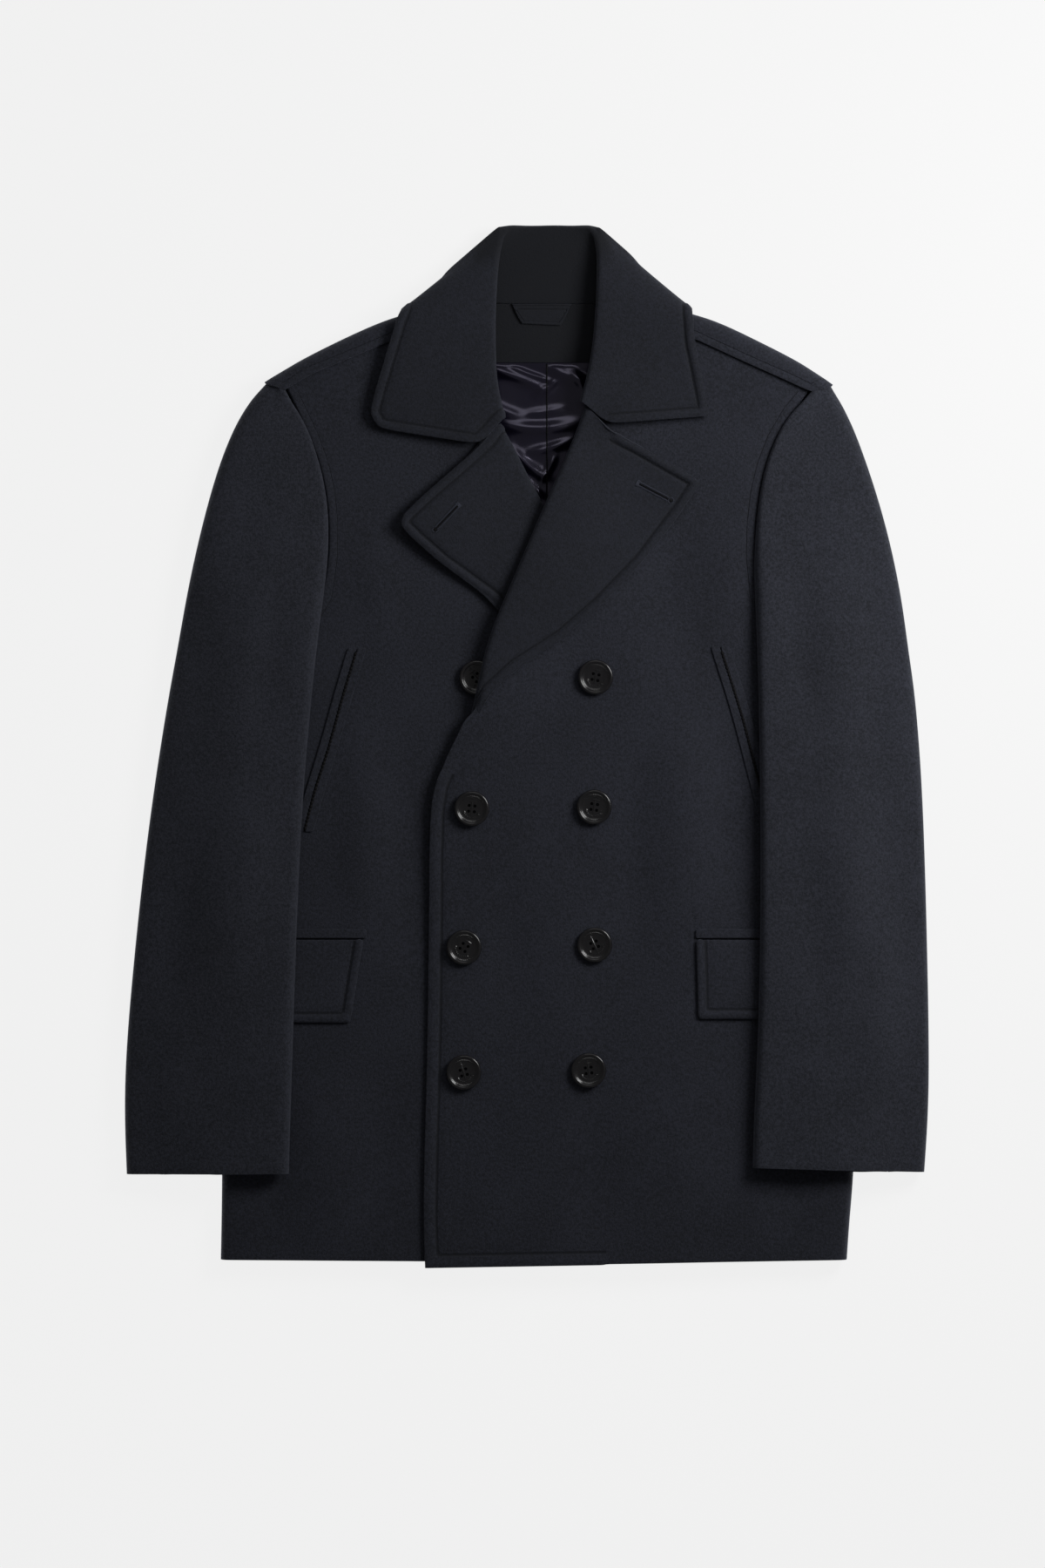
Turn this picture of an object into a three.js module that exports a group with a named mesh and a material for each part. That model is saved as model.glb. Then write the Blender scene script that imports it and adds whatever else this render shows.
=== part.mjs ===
// A double-breasted pea coat laid flat on its back.
// Millimetres. Seen from above, +X is the right of the picture, which is the wearer's left,
// +Y runs to the collar and +Z up. The origin is under the middle of the coat, on the floor.
import * as THREE from "three";

// Thickness of each cloth
const CLOTH = 2.4; // melton wool
const LAPEL = 3.0; // melton with its canvas
const COLLAR = 3.6; // two layers of melton with canvas between
const SATIN = 1.0; // lining
const GAP = 0.3; // between neighbours

// Heights of the middle of each layer
const BACK_LEVEL = CLOTH / 2;
const FRONT_LEVEL = 14.8;
const SLEEVE_LEVEL = 20.8; // underside of a sleeve where it lies on the body
const LAP_STEP = CLOTH + GAP; // the left front over the right one
const LAPEL_STEP = 4.2; // the left front over the right lapel
const SHOULDER_RISE = 2.2; // the fronts, up to the shoulder seams
const SHOULDER_LEVEL = FRONT_LEVEL + SHOULDER_RISE + LAP_STEP;
const NECK_LIFT = 4.4; // the back, over the collar's fall
const ROLL = 3.6; // radius of a lapel's turn, at the middle of its cloth
const ROLL_REACH = ROLL + LAPEL / 2;
const BELLY = 1.0; // how far a lapel bows away from its front
const COLLAR_ROLL = 2.75; // radius of the collar's turn
const RAMP = 24; // width of the step down from the body to the floor
const LAP_EASE = [15, 85]; // the left front comes down this far past the right one's edge
const LAP_RISE = [-150, -35]; // and up over the lapel between these rows
const ROLL_STAND = 85; // how far in from its roll the left front stays raised
const NECK_EASE = { low: 300, high: 340, right: [-150, -105], left: [142, 187] }; // where the back rises
const SHOULDER_EASE = [240, 345]; // rows over which the fronts rise

// Buttons
const BUTTON_RADIUS = 14.5;
const BUTTON_HEIGHT = 3.8;
const SHANK_RADIUS = 3.2;
const SHANK_HEIGHT = 1.2;

// Fronts, from hem to shoulder: o the side seam and armhole, i the front edge, roll and neckline.
// curl is the radius of the turn at o, and tuck how far the cloth stops short of i inside a roll.
const LEFT_FRONT = [
  { ox: 265.5, oy: -425.7, ix: -83.3, iy: -431.5, curl: 6.8, tuck: 0 },
  { ox: 267.7, oy: -391.9, ix: -84.8, iy: -391.9, curl: 6.8, tuck: 0 },
  { ox: 271.3, oy: -355.9, ix: -84.1, iy: -341.5, curl: 6.8, tuck: 0 },
  { ox: 273.8, oy: -276.7, ix: -81.9, iy: -269.5, curl: 6.8, tuck: 0 },
  { ox: 275.2, oy: -183.1, ix: -80.5, iy: -183.1, curl: 6.8, tuck: 0 },
  { ox: 275.9, oy: -93.1, ix: -80.1, iy: -93.1, curl: 6.8, tuck: 0 },
  { ox: 275.9, oy: -53.5, ix: -79.0, iy: -53.5, curl: 6.8, tuck: 0 },
  { ox: 275.2, oy: -21.1, ix: -75.4, iy: -32.6, curl: 6.8, tuck: 0 },
  { ox: 274.5, oy: 4.1, ix: -63.9, iy: -4.5, curl: 6.8, tuck: 0 },
  { ox: 273.8, oy: 24.3, ix: -50.0, iy: 21.4, curl: 6.7, tuck: 0 },
  { ox: 273.6, oy: 30.3, ix: -47.2, iy: 26.9, curl: 6.6, tuck: 5.3 },
  { ox: 272.3, oy: 50.9, ix: -41.5, iy: 50.9, curl: 6.2, tuck: 5.3 },
  { ox: 259.4, oy: 71.1, ix: -34.5, iy: 81.9, curl: 4.5, tuck: 5.3 },
  { ox: 230.6, oy: 79.0, ix: -25.0, iy: 107.1, curl: 2.2, tuck: 5.3 },
  { ox: 207.5, oy: 96.3, ix: -16.8, iy: 126.5, curl: 1.8, tuck: 5.3 },
  { ox: 192.4, oy: 122.9, ix: -6.3, iy: 149.6, curl: 1.8, tuck: 5.3 },
  { ox: 188.8, oy: 155.3, ix: 8.8, iy: 186.3, curl: 1.8, tuck: 5.3 },
  { ox: 189.9, oy: 184.1, ix: 21.1, iy: 214.4, curl: 1.8, tuck: 5.3 },
  { ox: 192.8, oy: 209.3, ix: 31.1, iy: 236.7, curl: 1.8, tuck: 5.3 },
  { ox: 198.2, oy: 231.7, ix: 40.5, iy: 259.7, curl: 1.8, tuck: 5.3 },
  { ox: 206.8, oy: 254.0, ix: 48.0, iy: 279.2, curl: 1.8, tuck: 5.3 },
  { ox: 219.1, oy: 274.9, ix: 59.9, iy: 299.3, curl: 1.8, tuck: 0 },
  { ox: 230.6, oy: 288.5, ix: 77.2, iy: 329.6, curl: 1.8, tuck: 0 },
  { ox: 236.3, oy: 297.9, ix: 102.4, iy: 356.0, curl: 1.8, tuck: 0 },
];
const RIGHT_FRONT = [
  { ox: -253.6, oy: -425.7, ix: 81.5, iy: -427.9, curl: 6.8, tuck: 0 },
  { ox: -252.9, oy: -391.9, ix: 82.3, iy: -391.9, curl: 6.8, tuck: 0 },
  { ox: -252.5, oy: -355.9, ix: 82.3, iy: -341.5, curl: 6.8, tuck: 0 },
  { ox: -251.8, oy: -276.7, ix: 83.0, iy: -269.5, curl: 6.8, tuck: 0 },
  { ox: -251.8, oy: -183.1, ix: 84.4, iy: -183.1, curl: 6.8, tuck: 0 },
  { ox: -252.5, oy: -93.1, ix: 85.9, iy: -93.1, curl: 6.8, tuck: 0 },
  { ox: -254.0, oy: -53.5, ix: 88.7, iy: -53.5, curl: 6.8, tuck: 0 },
  { ox: -254.7, oy: -21.1, ix: 94.5, iy: -24.7, curl: 6.8, tuck: 3.6 },
  { ox: -255.4, oy: 4.1, ix: 84.4, iy: 4.1, curl: 6.8, tuck: 5.3 },
  { ox: -256.9, oy: 29.3, ix: 72.9, iy: 32.9, curl: 6.6, tuck: 5.3 },
  { ox: -255.4, oy: 50.9, ix: 62.8, iy: 58.1, curl: 6.2, tuck: 5.3 },
  { ox: -241.0, oy: 71.1, ix: 54.2, iy: 81.9, curl: 4.5, tuck: 5.3 },
  { ox: -212.2, oy: 79.0, ix: 45.5, iy: 107.1, curl: 2.2, tuck: 5.3 },
  { ox: -185.6, oy: 96.3, ix: 39.1, iy: 126.5, curl: 1.8, tuck: 5.3 },
  { ox: -169.0, oy: 122.9, ix: 32.6, iy: 149.6, curl: 1.8, tuck: 5.3 },
  { ox: -164.3, oy: 155.3, ix: 21.1, iy: 186.3, curl: 1.8, tuck: 5.3 },
  { ox: -164.0, oy: 184.1, ix: 6.7, iy: 214.4, curl: 1.8, tuck: 5.3 },
  { ox: -166.5, oy: 209.3, ix: -4.1, iy: 235.3, curl: 1.8, tuck: 5.3 },
  { ox: -171.5, oy: 231.7, ix: -12.8, iy: 253.3, curl: 1.8, tuck: 5.3 },
  { ox: -179.5, oy: 254.0, ix: -19.8, iy: 266.0, curl: 1.8, tuck: 5.3 },
  { ox: -189.2, oy: 274.9, ix: -32.2, iy: 290.7, curl: 1.8, tuck: 0 },
  { ox: -195.7, oy: 288.5, ix: -46.6, iy: 320.9, curl: 1.8, tuck: 0 },
  { ox: -200.7, oy: 297.9, ix: -70.4, iy: 353.0, curl: 1.8, tuck: 0 },
];

// Sleeves, from cuff to shoulder: i the inner fold or armhole seam, o the outer fold, b the seam underneath.
// top is the crown's height, seam the height at i, fold the outer fold's radius; ride is 1 on the body.
const RIGHT_SLEEVE = [
  { ix: -196.4, iy: -353.7, ox: -331.7, oy: -354.8, bx: -301.5, by: -355.9, top: 29.7, seam: 23.7, fold: 7.3, ride: 1 },
  { ix: -194.9, iy: -301.9, ox: -333.9, oy: -301.9, bx: -303.7, by: -303.3, top: 29.7, seam: 23.7, fold: 7.3, ride: 1 },
  { ix: -193.1, iy: -247.9, ox: -332.1, oy: -247.9, bx: -302.2, by: -249.3, top: 30.5, seam: 24.0, fold: 7.3, ride: 1 },
  { ix: -190.6, iy: -168.7, ox: -325.6, oy: -175.9, bx: -295.7, by: -177.3, top: 31.5, seam: 24.5, fold: 7.3, ride: 1 },
  { ix: -187.7, iy: -96.7, ox: -318.1, oy: -103.9, bx: -288.5, by: -105.3, top: 30.0, seam: 24.0, fold: 7.3, ride: 1 },
  { ix: -184.1, iy: -31.9, ox: -308.7, oy: -31.9, bx: -285.0, by: -33.3, top: 29.7, seam: 23.7, fold: 7.3, ride: 1 },
  { ix: -178.4, iy: 32.9, ox: -297.2, oy: 40.1, bx: -284.0, by: 38.7, top: 29.5, seam: 23.7, fold: 7.3, ride: 1 },
  { ix: -173.3, iy: 82.0, ox: -290.7, oy: 74.0, bx: -277.0, by: 70.0, top: 29.0, seam: 23.2, fold: 7.3, ride: 1 },
  { ix: -168.3, iy: 119.3, ox: -283.9, oy: 113.6, bx: -245.4, by: 77.7, top: 28.0, seam: 19.0, fold: 7.5, ride: 0 },
  { ix: -164.7, iy: 148.1, ox: -277.7, oy: 145.3, bx: -213.9, by: 98.4, top: 25.0, seam: 17.6, fold: 7.8, ride: 0 },
  { ix: -163.3, iy: 175.5, ox: -270.5, oy: 176.9, bx: -194.4, by: 135.4, top: 22.0, seam: 17.4, fold: 8.2, ride: 0 },
  { ix: -164.7, iy: 202.1, ox: -262.6, oy: 207.2, bx: -184.8, by: 176.9, top: 20.2, seam: 17.4, fold: 8.6, ride: 0 },
  { ix: -169.7, iy: 228.8, ox: -253.6, oy: 236.7, bx: -184.8, by: 218.7, top: 20.0, seam: 17.4, fold: 8.9, ride: 0 },
  { ix: -177.7, iy: 252.5, ox: -241.7, oy: 265.5, bx: -189.9, by: 250.4, top: 20.1, seam: 17.8, fold: 9.2, ride: 0 },
  { ix: -189.2, iy: 275.3, ox: -229.5, oy: 285.1, bx: -200.4, by: 274.7, top: 20.3, seam: 18.2, fold: 9.4, ride: 0 },
  { ix: -201.3, iy: 292.4, ox: -215.1, oy: 301.9, bx: -206.2, by: 290.9, top: 20.5, seam: 18.6, fold: 8.4, ride: 0 },
];
const LEFT_SLEEVE = [
  { ix: 186.7, iy: -348.7, ox: 329.9, oy: -353.0, bx: 299.7, by: -353.7, top: 29.7, seam: 23.7, fold: 7.3, ride: 1 },
  { ix: 187.7, iy: -301.9, ox: 333.5, oy: -301.9, bx: 305.3, by: -303.3, top: 29.7, seam: 23.7, fold: 7.3, ride: 1 },
  { ix: 191.0, iy: -247.9, ox: 333.9, oy: -247.9, bx: 306.3, by: -249.3, top: 30.5, seam: 24.0, fold: 7.3, ride: 1 },
  { ix: 192.8, iy: -168.7, ox: 332.5, oy: -175.9, bx: 306.6, by: -177.3, top: 31.5, seam: 24.5, fold: 7.3, ride: 1 },
  { ix: 193.1, iy: -96.7, ox: 330.7, oy: -103.9, bx: 306.9, by: -105.3, top: 30.0, seam: 24.0, fold: 7.3, ride: 1 },
  { ix: 192.8, iy: -31.9, ox: 328.1, oy: -31.9, bx: 306.4, by: -33.3, top: 29.7, seam: 23.7, fold: 7.3, ride: 1 },
  { ix: 191.7, iy: 32.9, ox: 322.7, oy: 40.1, bx: 304.1, by: 38.7, top: 29.5, seam: 23.7, fold: 7.3, ride: 1 },
  { ix: 190.3, iy: 82.0, ox: 317.3, oy: 74.0, bx: 300.1, by: 70.0, top: 29.0, seam: 23.2, fold: 7.3, ride: 1 },
  { ix: 188.8, iy: 119.3, ox: 312.3, oy: 113.6, bx: 275.6, by: 77.7, top: 28.0, seam: 19.0, fold: 7.5, ride: 0 },
  { ix: 187.7, iy: 148.1, ox: 306.5, oy: 145.3, bx: 248.4, by: 98.4, top: 25.0, seam: 17.6, fold: 7.8, ride: 0 },
  { ix: 189.2, iy: 175.5, ox: 299.3, oy: 176.9, bx: 230.0, by: 135.4, top: 22.0, seam: 17.4, fold: 8.2, ride: 0 },
  { ix: 191.7, iy: 202.1, ox: 290.7, oy: 207.2, bx: 221.2, by: 176.9, top: 20.2, seam: 17.4, fold: 8.6, ride: 0 },
  { ix: 196.7, iy: 228.8, ox: 281.0, oy: 236.7, bx: 221.2, by: 218.7, top: 20.0, seam: 17.4, fold: 8.9, ride: 0 },
  { ix: 204.7, iy: 251.1, ox: 270.2, oy: 265.5, bx: 226.2, by: 250.4, top: 20.1, seam: 17.8, fold: 9.2, ride: 0 },
  { ix: 217.6, iy: 273.4, ox: 260.1, oy: 284.7, bx: 237.4, by: 273.2, top: 20.3, seam: 18.2, fold: 9.4, ride: 0 },
  { ix: 236.9, iy: 290.9, ox: 252.2, oy: 300.1, bx: 242.8, by: 290.0, top: 20.5, seam: 18.6, fold: 8.4, ride: 0 },
];

// Back, from hem to shoulders: l and r its edges, cap how far a row takes the shoulders' shape.
const BACK = [
  { lx: -253.6, ly: -425.7, rx: 265.5, ry: -425.7, curl: 6.8, cap: 0 },
  { lx: -252.9, ly: -391.9, rx: 267.7, ry: -391.9, curl: 6.8, cap: 0 },
  { lx: -252.5, ly: -355.9, rx: 271.3, ry: -355.9, curl: 6.8, cap: 0 },
  { lx: -251.8, ly: -247.9, rx: 274.1, ry: -247.9, curl: 6.8, cap: 0 },
  { lx: -252.5, ly: -103.9, rx: 275.9, ry: -103.9, curl: 6.8, cap: 0 },
  { lx: -255.4, ly: 4.1, rx: 274.5, ry: 4.1, curl: 6.8, cap: 0 },
  { lx: -256.5, ly: 40.1, rx: 273.8, ry: 40.1, curl: 6.6, cap: 0 },
  { lx: -255.0, ly: 62.3, rx: 271.6, ry: 62.3, curl: 5.0, cap: 0.03 },
  { lx: -244.3, ly: 76.3, rx: 274.5, ry: 76.3, curl: 1.8, cap: 0.08 },
  { lx: -212.7, ly: 97.2, rx: 247.1, ry: 97.2, curl: 1.8, cap: 0.16 },
  { lx: -193.5, ly: 135.2, rx: 229.1, ry: 135.2, curl: 1.8, cap: 0.3 },
  { lx: -184.1, ly: 176.9, rx: 220.5, ry: 176.9, curl: 1.8, cap: 0.5 },
  { lx: -184.1, ly: 218.7, rx: 220.5, ry: 218.7, curl: 1.8, cap: 0.7 },
  { lx: -189.2, ly: 250.4, rx: 225.5, ry: 250.4, curl: 1.8, cap: 0.84 },
  { lx: -199.3, ly: 274.1, rx: 236.3, ry: 272.7, curl: 1.8, cap: 0.94 },
];
// Shoulders, from the armhole to the neck: f the fold over the top, s the lapped seam in front.
const RIGHT_SHOULDER = [
  { fx: -213.6, fy: 302.3, sx: -199.4, sy: 294.0 },
  { fx: -194.2, fy: 315.9, sx: -182.0, sy: 305.8 },
  { fx: -160.4, fy: 333.2, sx: -153.2, sy: 317.3 },
  { fx: -122.9, fy: 350.5, sx: -118.6, sy: 331.7 },
  { fx: -100.0, fy: 357.5, sx: -99.9, sy: 339.7 },
  { fx: -70.5, fy: 365.5, sx: -71.8, sy: 349.2 },
];
const LEFT_SHOULDER = [
  { fx: 250.6, fy: 300.2, sx: 235.1, sy: 292.0 },
  { fx: 230.6, fy: 315.9, sx: 218.3, sy: 300.4 },
  { fx: 196.0, fy: 333.2, sx: 189.5, sy: 313.0 },
  { fx: 160.7, fy: 350.5, sx: 156.4, sy: 328.1 },
  { fx: 137.7, fy: 357.5, sx: 137.7, sy: 336.8 },
  { fx: 105.6, fy: 365.5, sx: 106.3, sy: 349.9 },
];
// Back neck, between the two shoulders.
const NECK = [
  { x: -60.0, y: 360.5 },
  { x: -42.0, y: 364.4 },
  { x: 18.2, y: 364.4 },
  { x: 72.0, y: 364.4 },
  { x: 94.0, y: 360.5 },
];

// Collar, from each front end to the centre back: n the neck seam, r the centre of the roll, e the free edge.
// g is the corner at the notch. turn is 0 where the fall lies above the stand and 180 where it lies below, behind the neck.
const RIGHT_COLLAR = [
  { turn: 0, nx: -29.3, ny: 264.8, nz: 18.9, rx: -21.1, ry: 269.1, rz: 21.4, ex: -122.8, ey: 262.2, ez: 21.5, gx: -39.6, gy: 249.0 },
  { turn: 0, nx: -35.1, ny: 287.8, nz: 19.4, rx: -27.9, ry: 296.5, rz: 22.0, ex: -130.3, ey: 275.0, ez: 22.0 },
  { turn: 0, nx: -45.2, ny: 313.7, nz: 20.2, rx: -29.3, ry: 325.3, rz: 22.4, ex: -122.6, ey: 300.8, ez: 23.6 },
  { turn: 5, nx: -55.3, ny: 335.3, nz: 20.6, rx: -29.3, ry: 355.5, rz: 22.4, ex: -113.6, ey: 331.0, ez: 25.9 },
  { turn: 20, nx: -63.9, ny: 354.8, nz: 20.0, rx: -27.9, ry: 384.3, rz: 21.0, ex: -106.4, ey: 352.6, ez: 26.2 },
  { turn: 55, nx: -68.2, ny: 367.7, nz: 16.5, rx: -25.7, ry: 409.5, rz: 17.0, ex: -102.1, ey: 360.1, ez: 22 },
  { turn: 90, nx: -68.9, ny: 374.9, nz: 12.5, rx: -20.7, ry: 426.1, rz: 12.0, ex: -98.5, ey: 362.5, ez: 13.5 },
  { turn: 125, nx: -65.3, ny: 374.9, nz: 9.0, rx: -12.1, ry: 427.6, rz: 7.6, ex: -94.9, ey: 360.5, ez: 4.2 },
  { turn: 160, nx: -53.8, ny: 369.9, nz: 7.4, rx: -2.0, ry: 427.4, rz: 5.2, ex: -79.7, ey: 351.9, ez: 1.9 },
  { turn: 180, nx: -35.1, ny: 366.3, nz: 7.2, rx: 8.8, ry: 427.3, rz: 4.55, ex: -43.0, ey: 346.9, ez: 1.8 },
  { turn: 180, nx: 19.6, ny: 366.3, nz: 7.2, rx: 22.5, ry: 427.3, rz: 4.55, ex: 18.2, ey: 344.7, ez: 1.8 },
];
const LEFT_COLLAR = [
  { turn: 0, nx: 58.5, ny: 277.7, nz: 20.6, rx: 47.7, ry: 282.8, rz: 23.0, ex: 150.0, ey: 272.2, ez: 21.5, gx: 67.4, gy: 265.8 },
  { turn: 0, nx: 64.3, ny: 296.5, nz: 20.6, rx: 54.2, ry: 305.8, rz: 23.0, ex: 148.5, ey: 284.9, ez: 22.0 },
  { turn: 0, nx: 74.3, ny: 320.9, nz: 20.6, rx: 58.5, ry: 331.0, rz: 23.0, ex: 143.5, ey: 310.1, ez: 24.0 },
  { turn: 5, nx: 85.9, ny: 342.5, nz: 20.6, rx: 60.7, ry: 358.4, rz: 22.6, ex: 138.4, ey: 333.9, ez: 26.2 },
  { turn: 20, nx: 95.9, ny: 357.0, nz: 20.0, rx: 61.7, ry: 385.7, rz: 21.2, ex: 136.9, ey: 352.2, ez: 26.2 },
  { turn: 55, nx: 101.7, ny: 369.9, nz: 17.0, rx: 61.7, ry: 410.2, rz: 17.2, ex: 135.7, ey: 360.6, ez: 22 },
  { turn: 90, nx: 103.1, ny: 375.7, nz: 12.5, rx: 57.8, ry: 425.5, rz: 12.5, ex: 133.7, ey: 362.5, ez: 13.5 },
  { turn: 125, nx: 99.5, ny: 375.7, nz: 9.0, rx: 51.3, ry: 427.6, rz: 7.8, ex: 129.8, ey: 360.5, ez: 4.2 },
  { turn: 160, nx: 88.7, ny: 369.9, nz: 7.4, rx: 42.7, ry: 427.4, rz: 5.2, ex: 116.1, ey: 351.9, ez: 1.9 },
  { turn: 180, nx: 71.5, ny: 366.3, nz: 7.2, rx: 34.0, ry: 427.3, rz: 4.55, ex: 79.4, ey: 346.9, ez: 1.8 },
];

// Lapels, from the bottom of the roll to the notch: r the roll, e the free edge, lift how far e stands off.
const LEFT_LAPEL = [
  { rx: -47.6, ry: 26.6, ex: -38.4, ey: 29.9, lift: 0 },
  { rx: -42.9, ry: 40.9, ex: -30.4, ey: 43.7, lift: 0 },
  { rx: -38.9, ry: 60.0, ex: -9.2, ey: 63.2, lift: 0 },
  { rx: -33.6, ry: 83.0, ex: 29.0, ey: 87.7, lift: 0 },
  { rx: -25.0, ry: 107.1, ex: 61.4, ey: 115.7, lift: 0 },
  { rx: -10.6, ry: 140.2, ex: 95.9, ey: 151.7, lift: 0 },
  { rx: 5.9, ry: 179.1, ex: 128.3, ey: 194.2, lift: 0.3 },
  { rx: 18.2, ry: 207.9, ex: 142.7, ey: 215.8, lift: 0.5 },
  { rx: 26.1, ry: 225.2, ex: 139.1, ey: 221.6, lift: 0.8 },
  { rx: 33.3, ry: 242.5, ex: 117.5, ey: 233.8, lift: 1.5 },
  { rx: 40.5, ry: 259.7, ex: 92.3, ey: 248.2, lift: 3.0 },
  { rx: 47.7, ry: 279.0, ex: 66.8, ey: 261.5, lift: 3.5 },
];
const RIGHT_LAPEL = [
  { rx: 94.4, ry: -24.4, ex: 87.0, ey: -26.0, lift: 0 },
  { rx: 72.9, ry: 32.9, ex: 57.1, ey: 35.8, lift: 0 },
  { rx: 55.6, ry: 77.6, ex: 22.5, ey: 67.5, lift: 0 },
  { rx: 42.7, ry: 115.7, ex: -6.3, ey: 86.9, lift: 0 },
  { rx: 32.6, ry: 149.6, ex: -26.5, ey: 118.6, lift: 0 },
  { rx: 21.8, ry: 184.1, ex: -50.2, ey: 135.9, lift: 1.5 },
  { rx: 12.4, ry: 203.6, ex: -70.4, ey: 150.3, lift: 3.5 },
  { rx: 5.2, ry: 216.5, ex: -92.0, ey: 169.0, lift: 5.5 },
  { rx: 0.2, ry: 226.6, ex: -104.2, ey: 181.3, lift: 6.5 },
  { rx: -4.9, ry: 236.7, ex: -102.8, ey: 189.9, lift: 6.5 },
  { rx: -10.6, ry: 248.2, ex: -82.6, ey: 208.6, lift: 5.0 },
  { rx: -16.4, ry: 258.3, ex: -61.0, ey: 227.3, lift: 3.5 },
  { rx: -20.6, ry: 266.0, ex: -39.4, ey: 247.1, lift: 3.0 },
];
// The left front's roll stands up over the right lapel and the hidden button.
const ROLL_LIFT = [
  { y: -75, lift: 0 },
  { y: -38, lift: 0 },
  { y: -3, lift: 2.3 },
  { y: 41, lift: 5.7 },
  { y: 107, lift: 5.0 },
  { y: 202, lift: 4.5 },
  { y: 245, lift: 3.5 },
  { y: 281, lift: 1.5 },
  { y: 330, lift: 0 },
];

// Pockets and buttons, where they lie on the fronts.
const RIGHT_SLIT = [
  { x: -140.2, y: 80.5 },
  { x: -152.5, y: 39.0 },
  { x: -164.0, y: -3.1 },
  { x: -174.8, y: -36.0 },
  { x: -184.1, y: -71.5 },
];
const LEFT_SLIT = [
  { x: 160.0, y: 81.9 },
  { x: 169.6, y: 52.0 },
  { x: 178.7, y: 22.9 },
  { x: 192.4, y: -30.4 },
  { x: 201.8, y: -67.9 },
];
const BUTTONS = [
  { name: "button_under_1", x: -41.2, y: 56.0, on: "right" },
  { name: "button_under_2", x: -45.3, y: -52.2, on: "left" },
  { name: "button_under_3", x: -51.7, y: -166.9, on: "left" },
  { name: "button_under_4", x: -52.0, y: -270.2, on: "left" },
  { name: "button_over_1", x: 56.9, y: 56.3, on: "left" },
  { name: "button_over_2", x: 55.8, y: -50.9, on: "left" },
  { name: "button_over_3", x: 56.2, y: -164.8, on: "left" },
  { name: "button_over_4", x: 51.2, y: -268.5, on: "left" },
];

const { clamp, lerp, degToRad } = THREE.MathUtils;
const flat = (x, y) => new THREE.Vector2(x, y);
const point = (p, z) => new THREE.Vector3(p.x, p.y, z);
const between = (a, b, t) => a.clone().lerp(b, t);
const towards = (a, b) => b.clone().sub(a).normalize();
const steps = (count) => Array.from({ length: count + 1 }, (_, k) => k / count);

// 0 below from, 1 above to, and a smooth rise between them.
function ramp(from, to, value) {
  const t = clamp((value - from) / (to - from), 0, 1);
  return t * t * (3 - 2 * t);
}

// The value of a table's column where another column, which rises, has the value at.
function lookup(table, key, column, at) {
  const next = table.findIndex((row) => row[key] >= at);
  if (next === 0) return table[0][column];
  if (next < 0) return table[table.length - 1][column];
  const low = table[next - 1];
  const high = table[next];
  return lerp(low[column], high[column], (at - low[key]) / (high[key] - low[key]));
}

// Direction of a line of points at its k-th point. An end mirrors its neighbour's, as on an arc.
function tangent(line, k) {
  const last = line.length - 1;
  if (k === 0 || k === last) {
    const inner = k === 0 ? 1 : last - 1;
    const chord = line[k === 0 ? 1 : last].clone().sub(line[k === 0 ? 0 : last - 1]).normalize();
    const own = line[k].distanceTo(line[inner]);
    if (last < 2 || own > 1.5 * line[inner].distanceTo(line[k === 0 ? 2 : last - 2])) return chord;
    const beside = tangent(line, inner);
    return chord.multiplyScalar(2 * chord.dot(beside)).sub(beside).normalize();
  }
  const before = line[k].clone().sub(line[k - 1]);
  const after = line[k + 1].clone().sub(line[k]);
  const weight = before.length() / (before.length() + after.length());
  return before.normalize().multiplyScalar(1 - weight).add(after.normalize().multiplyScalar(weight)).normalize();
}

const SQUARE_ENOUGH = 0.6; // sine of the angle between a grid's two directions
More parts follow.
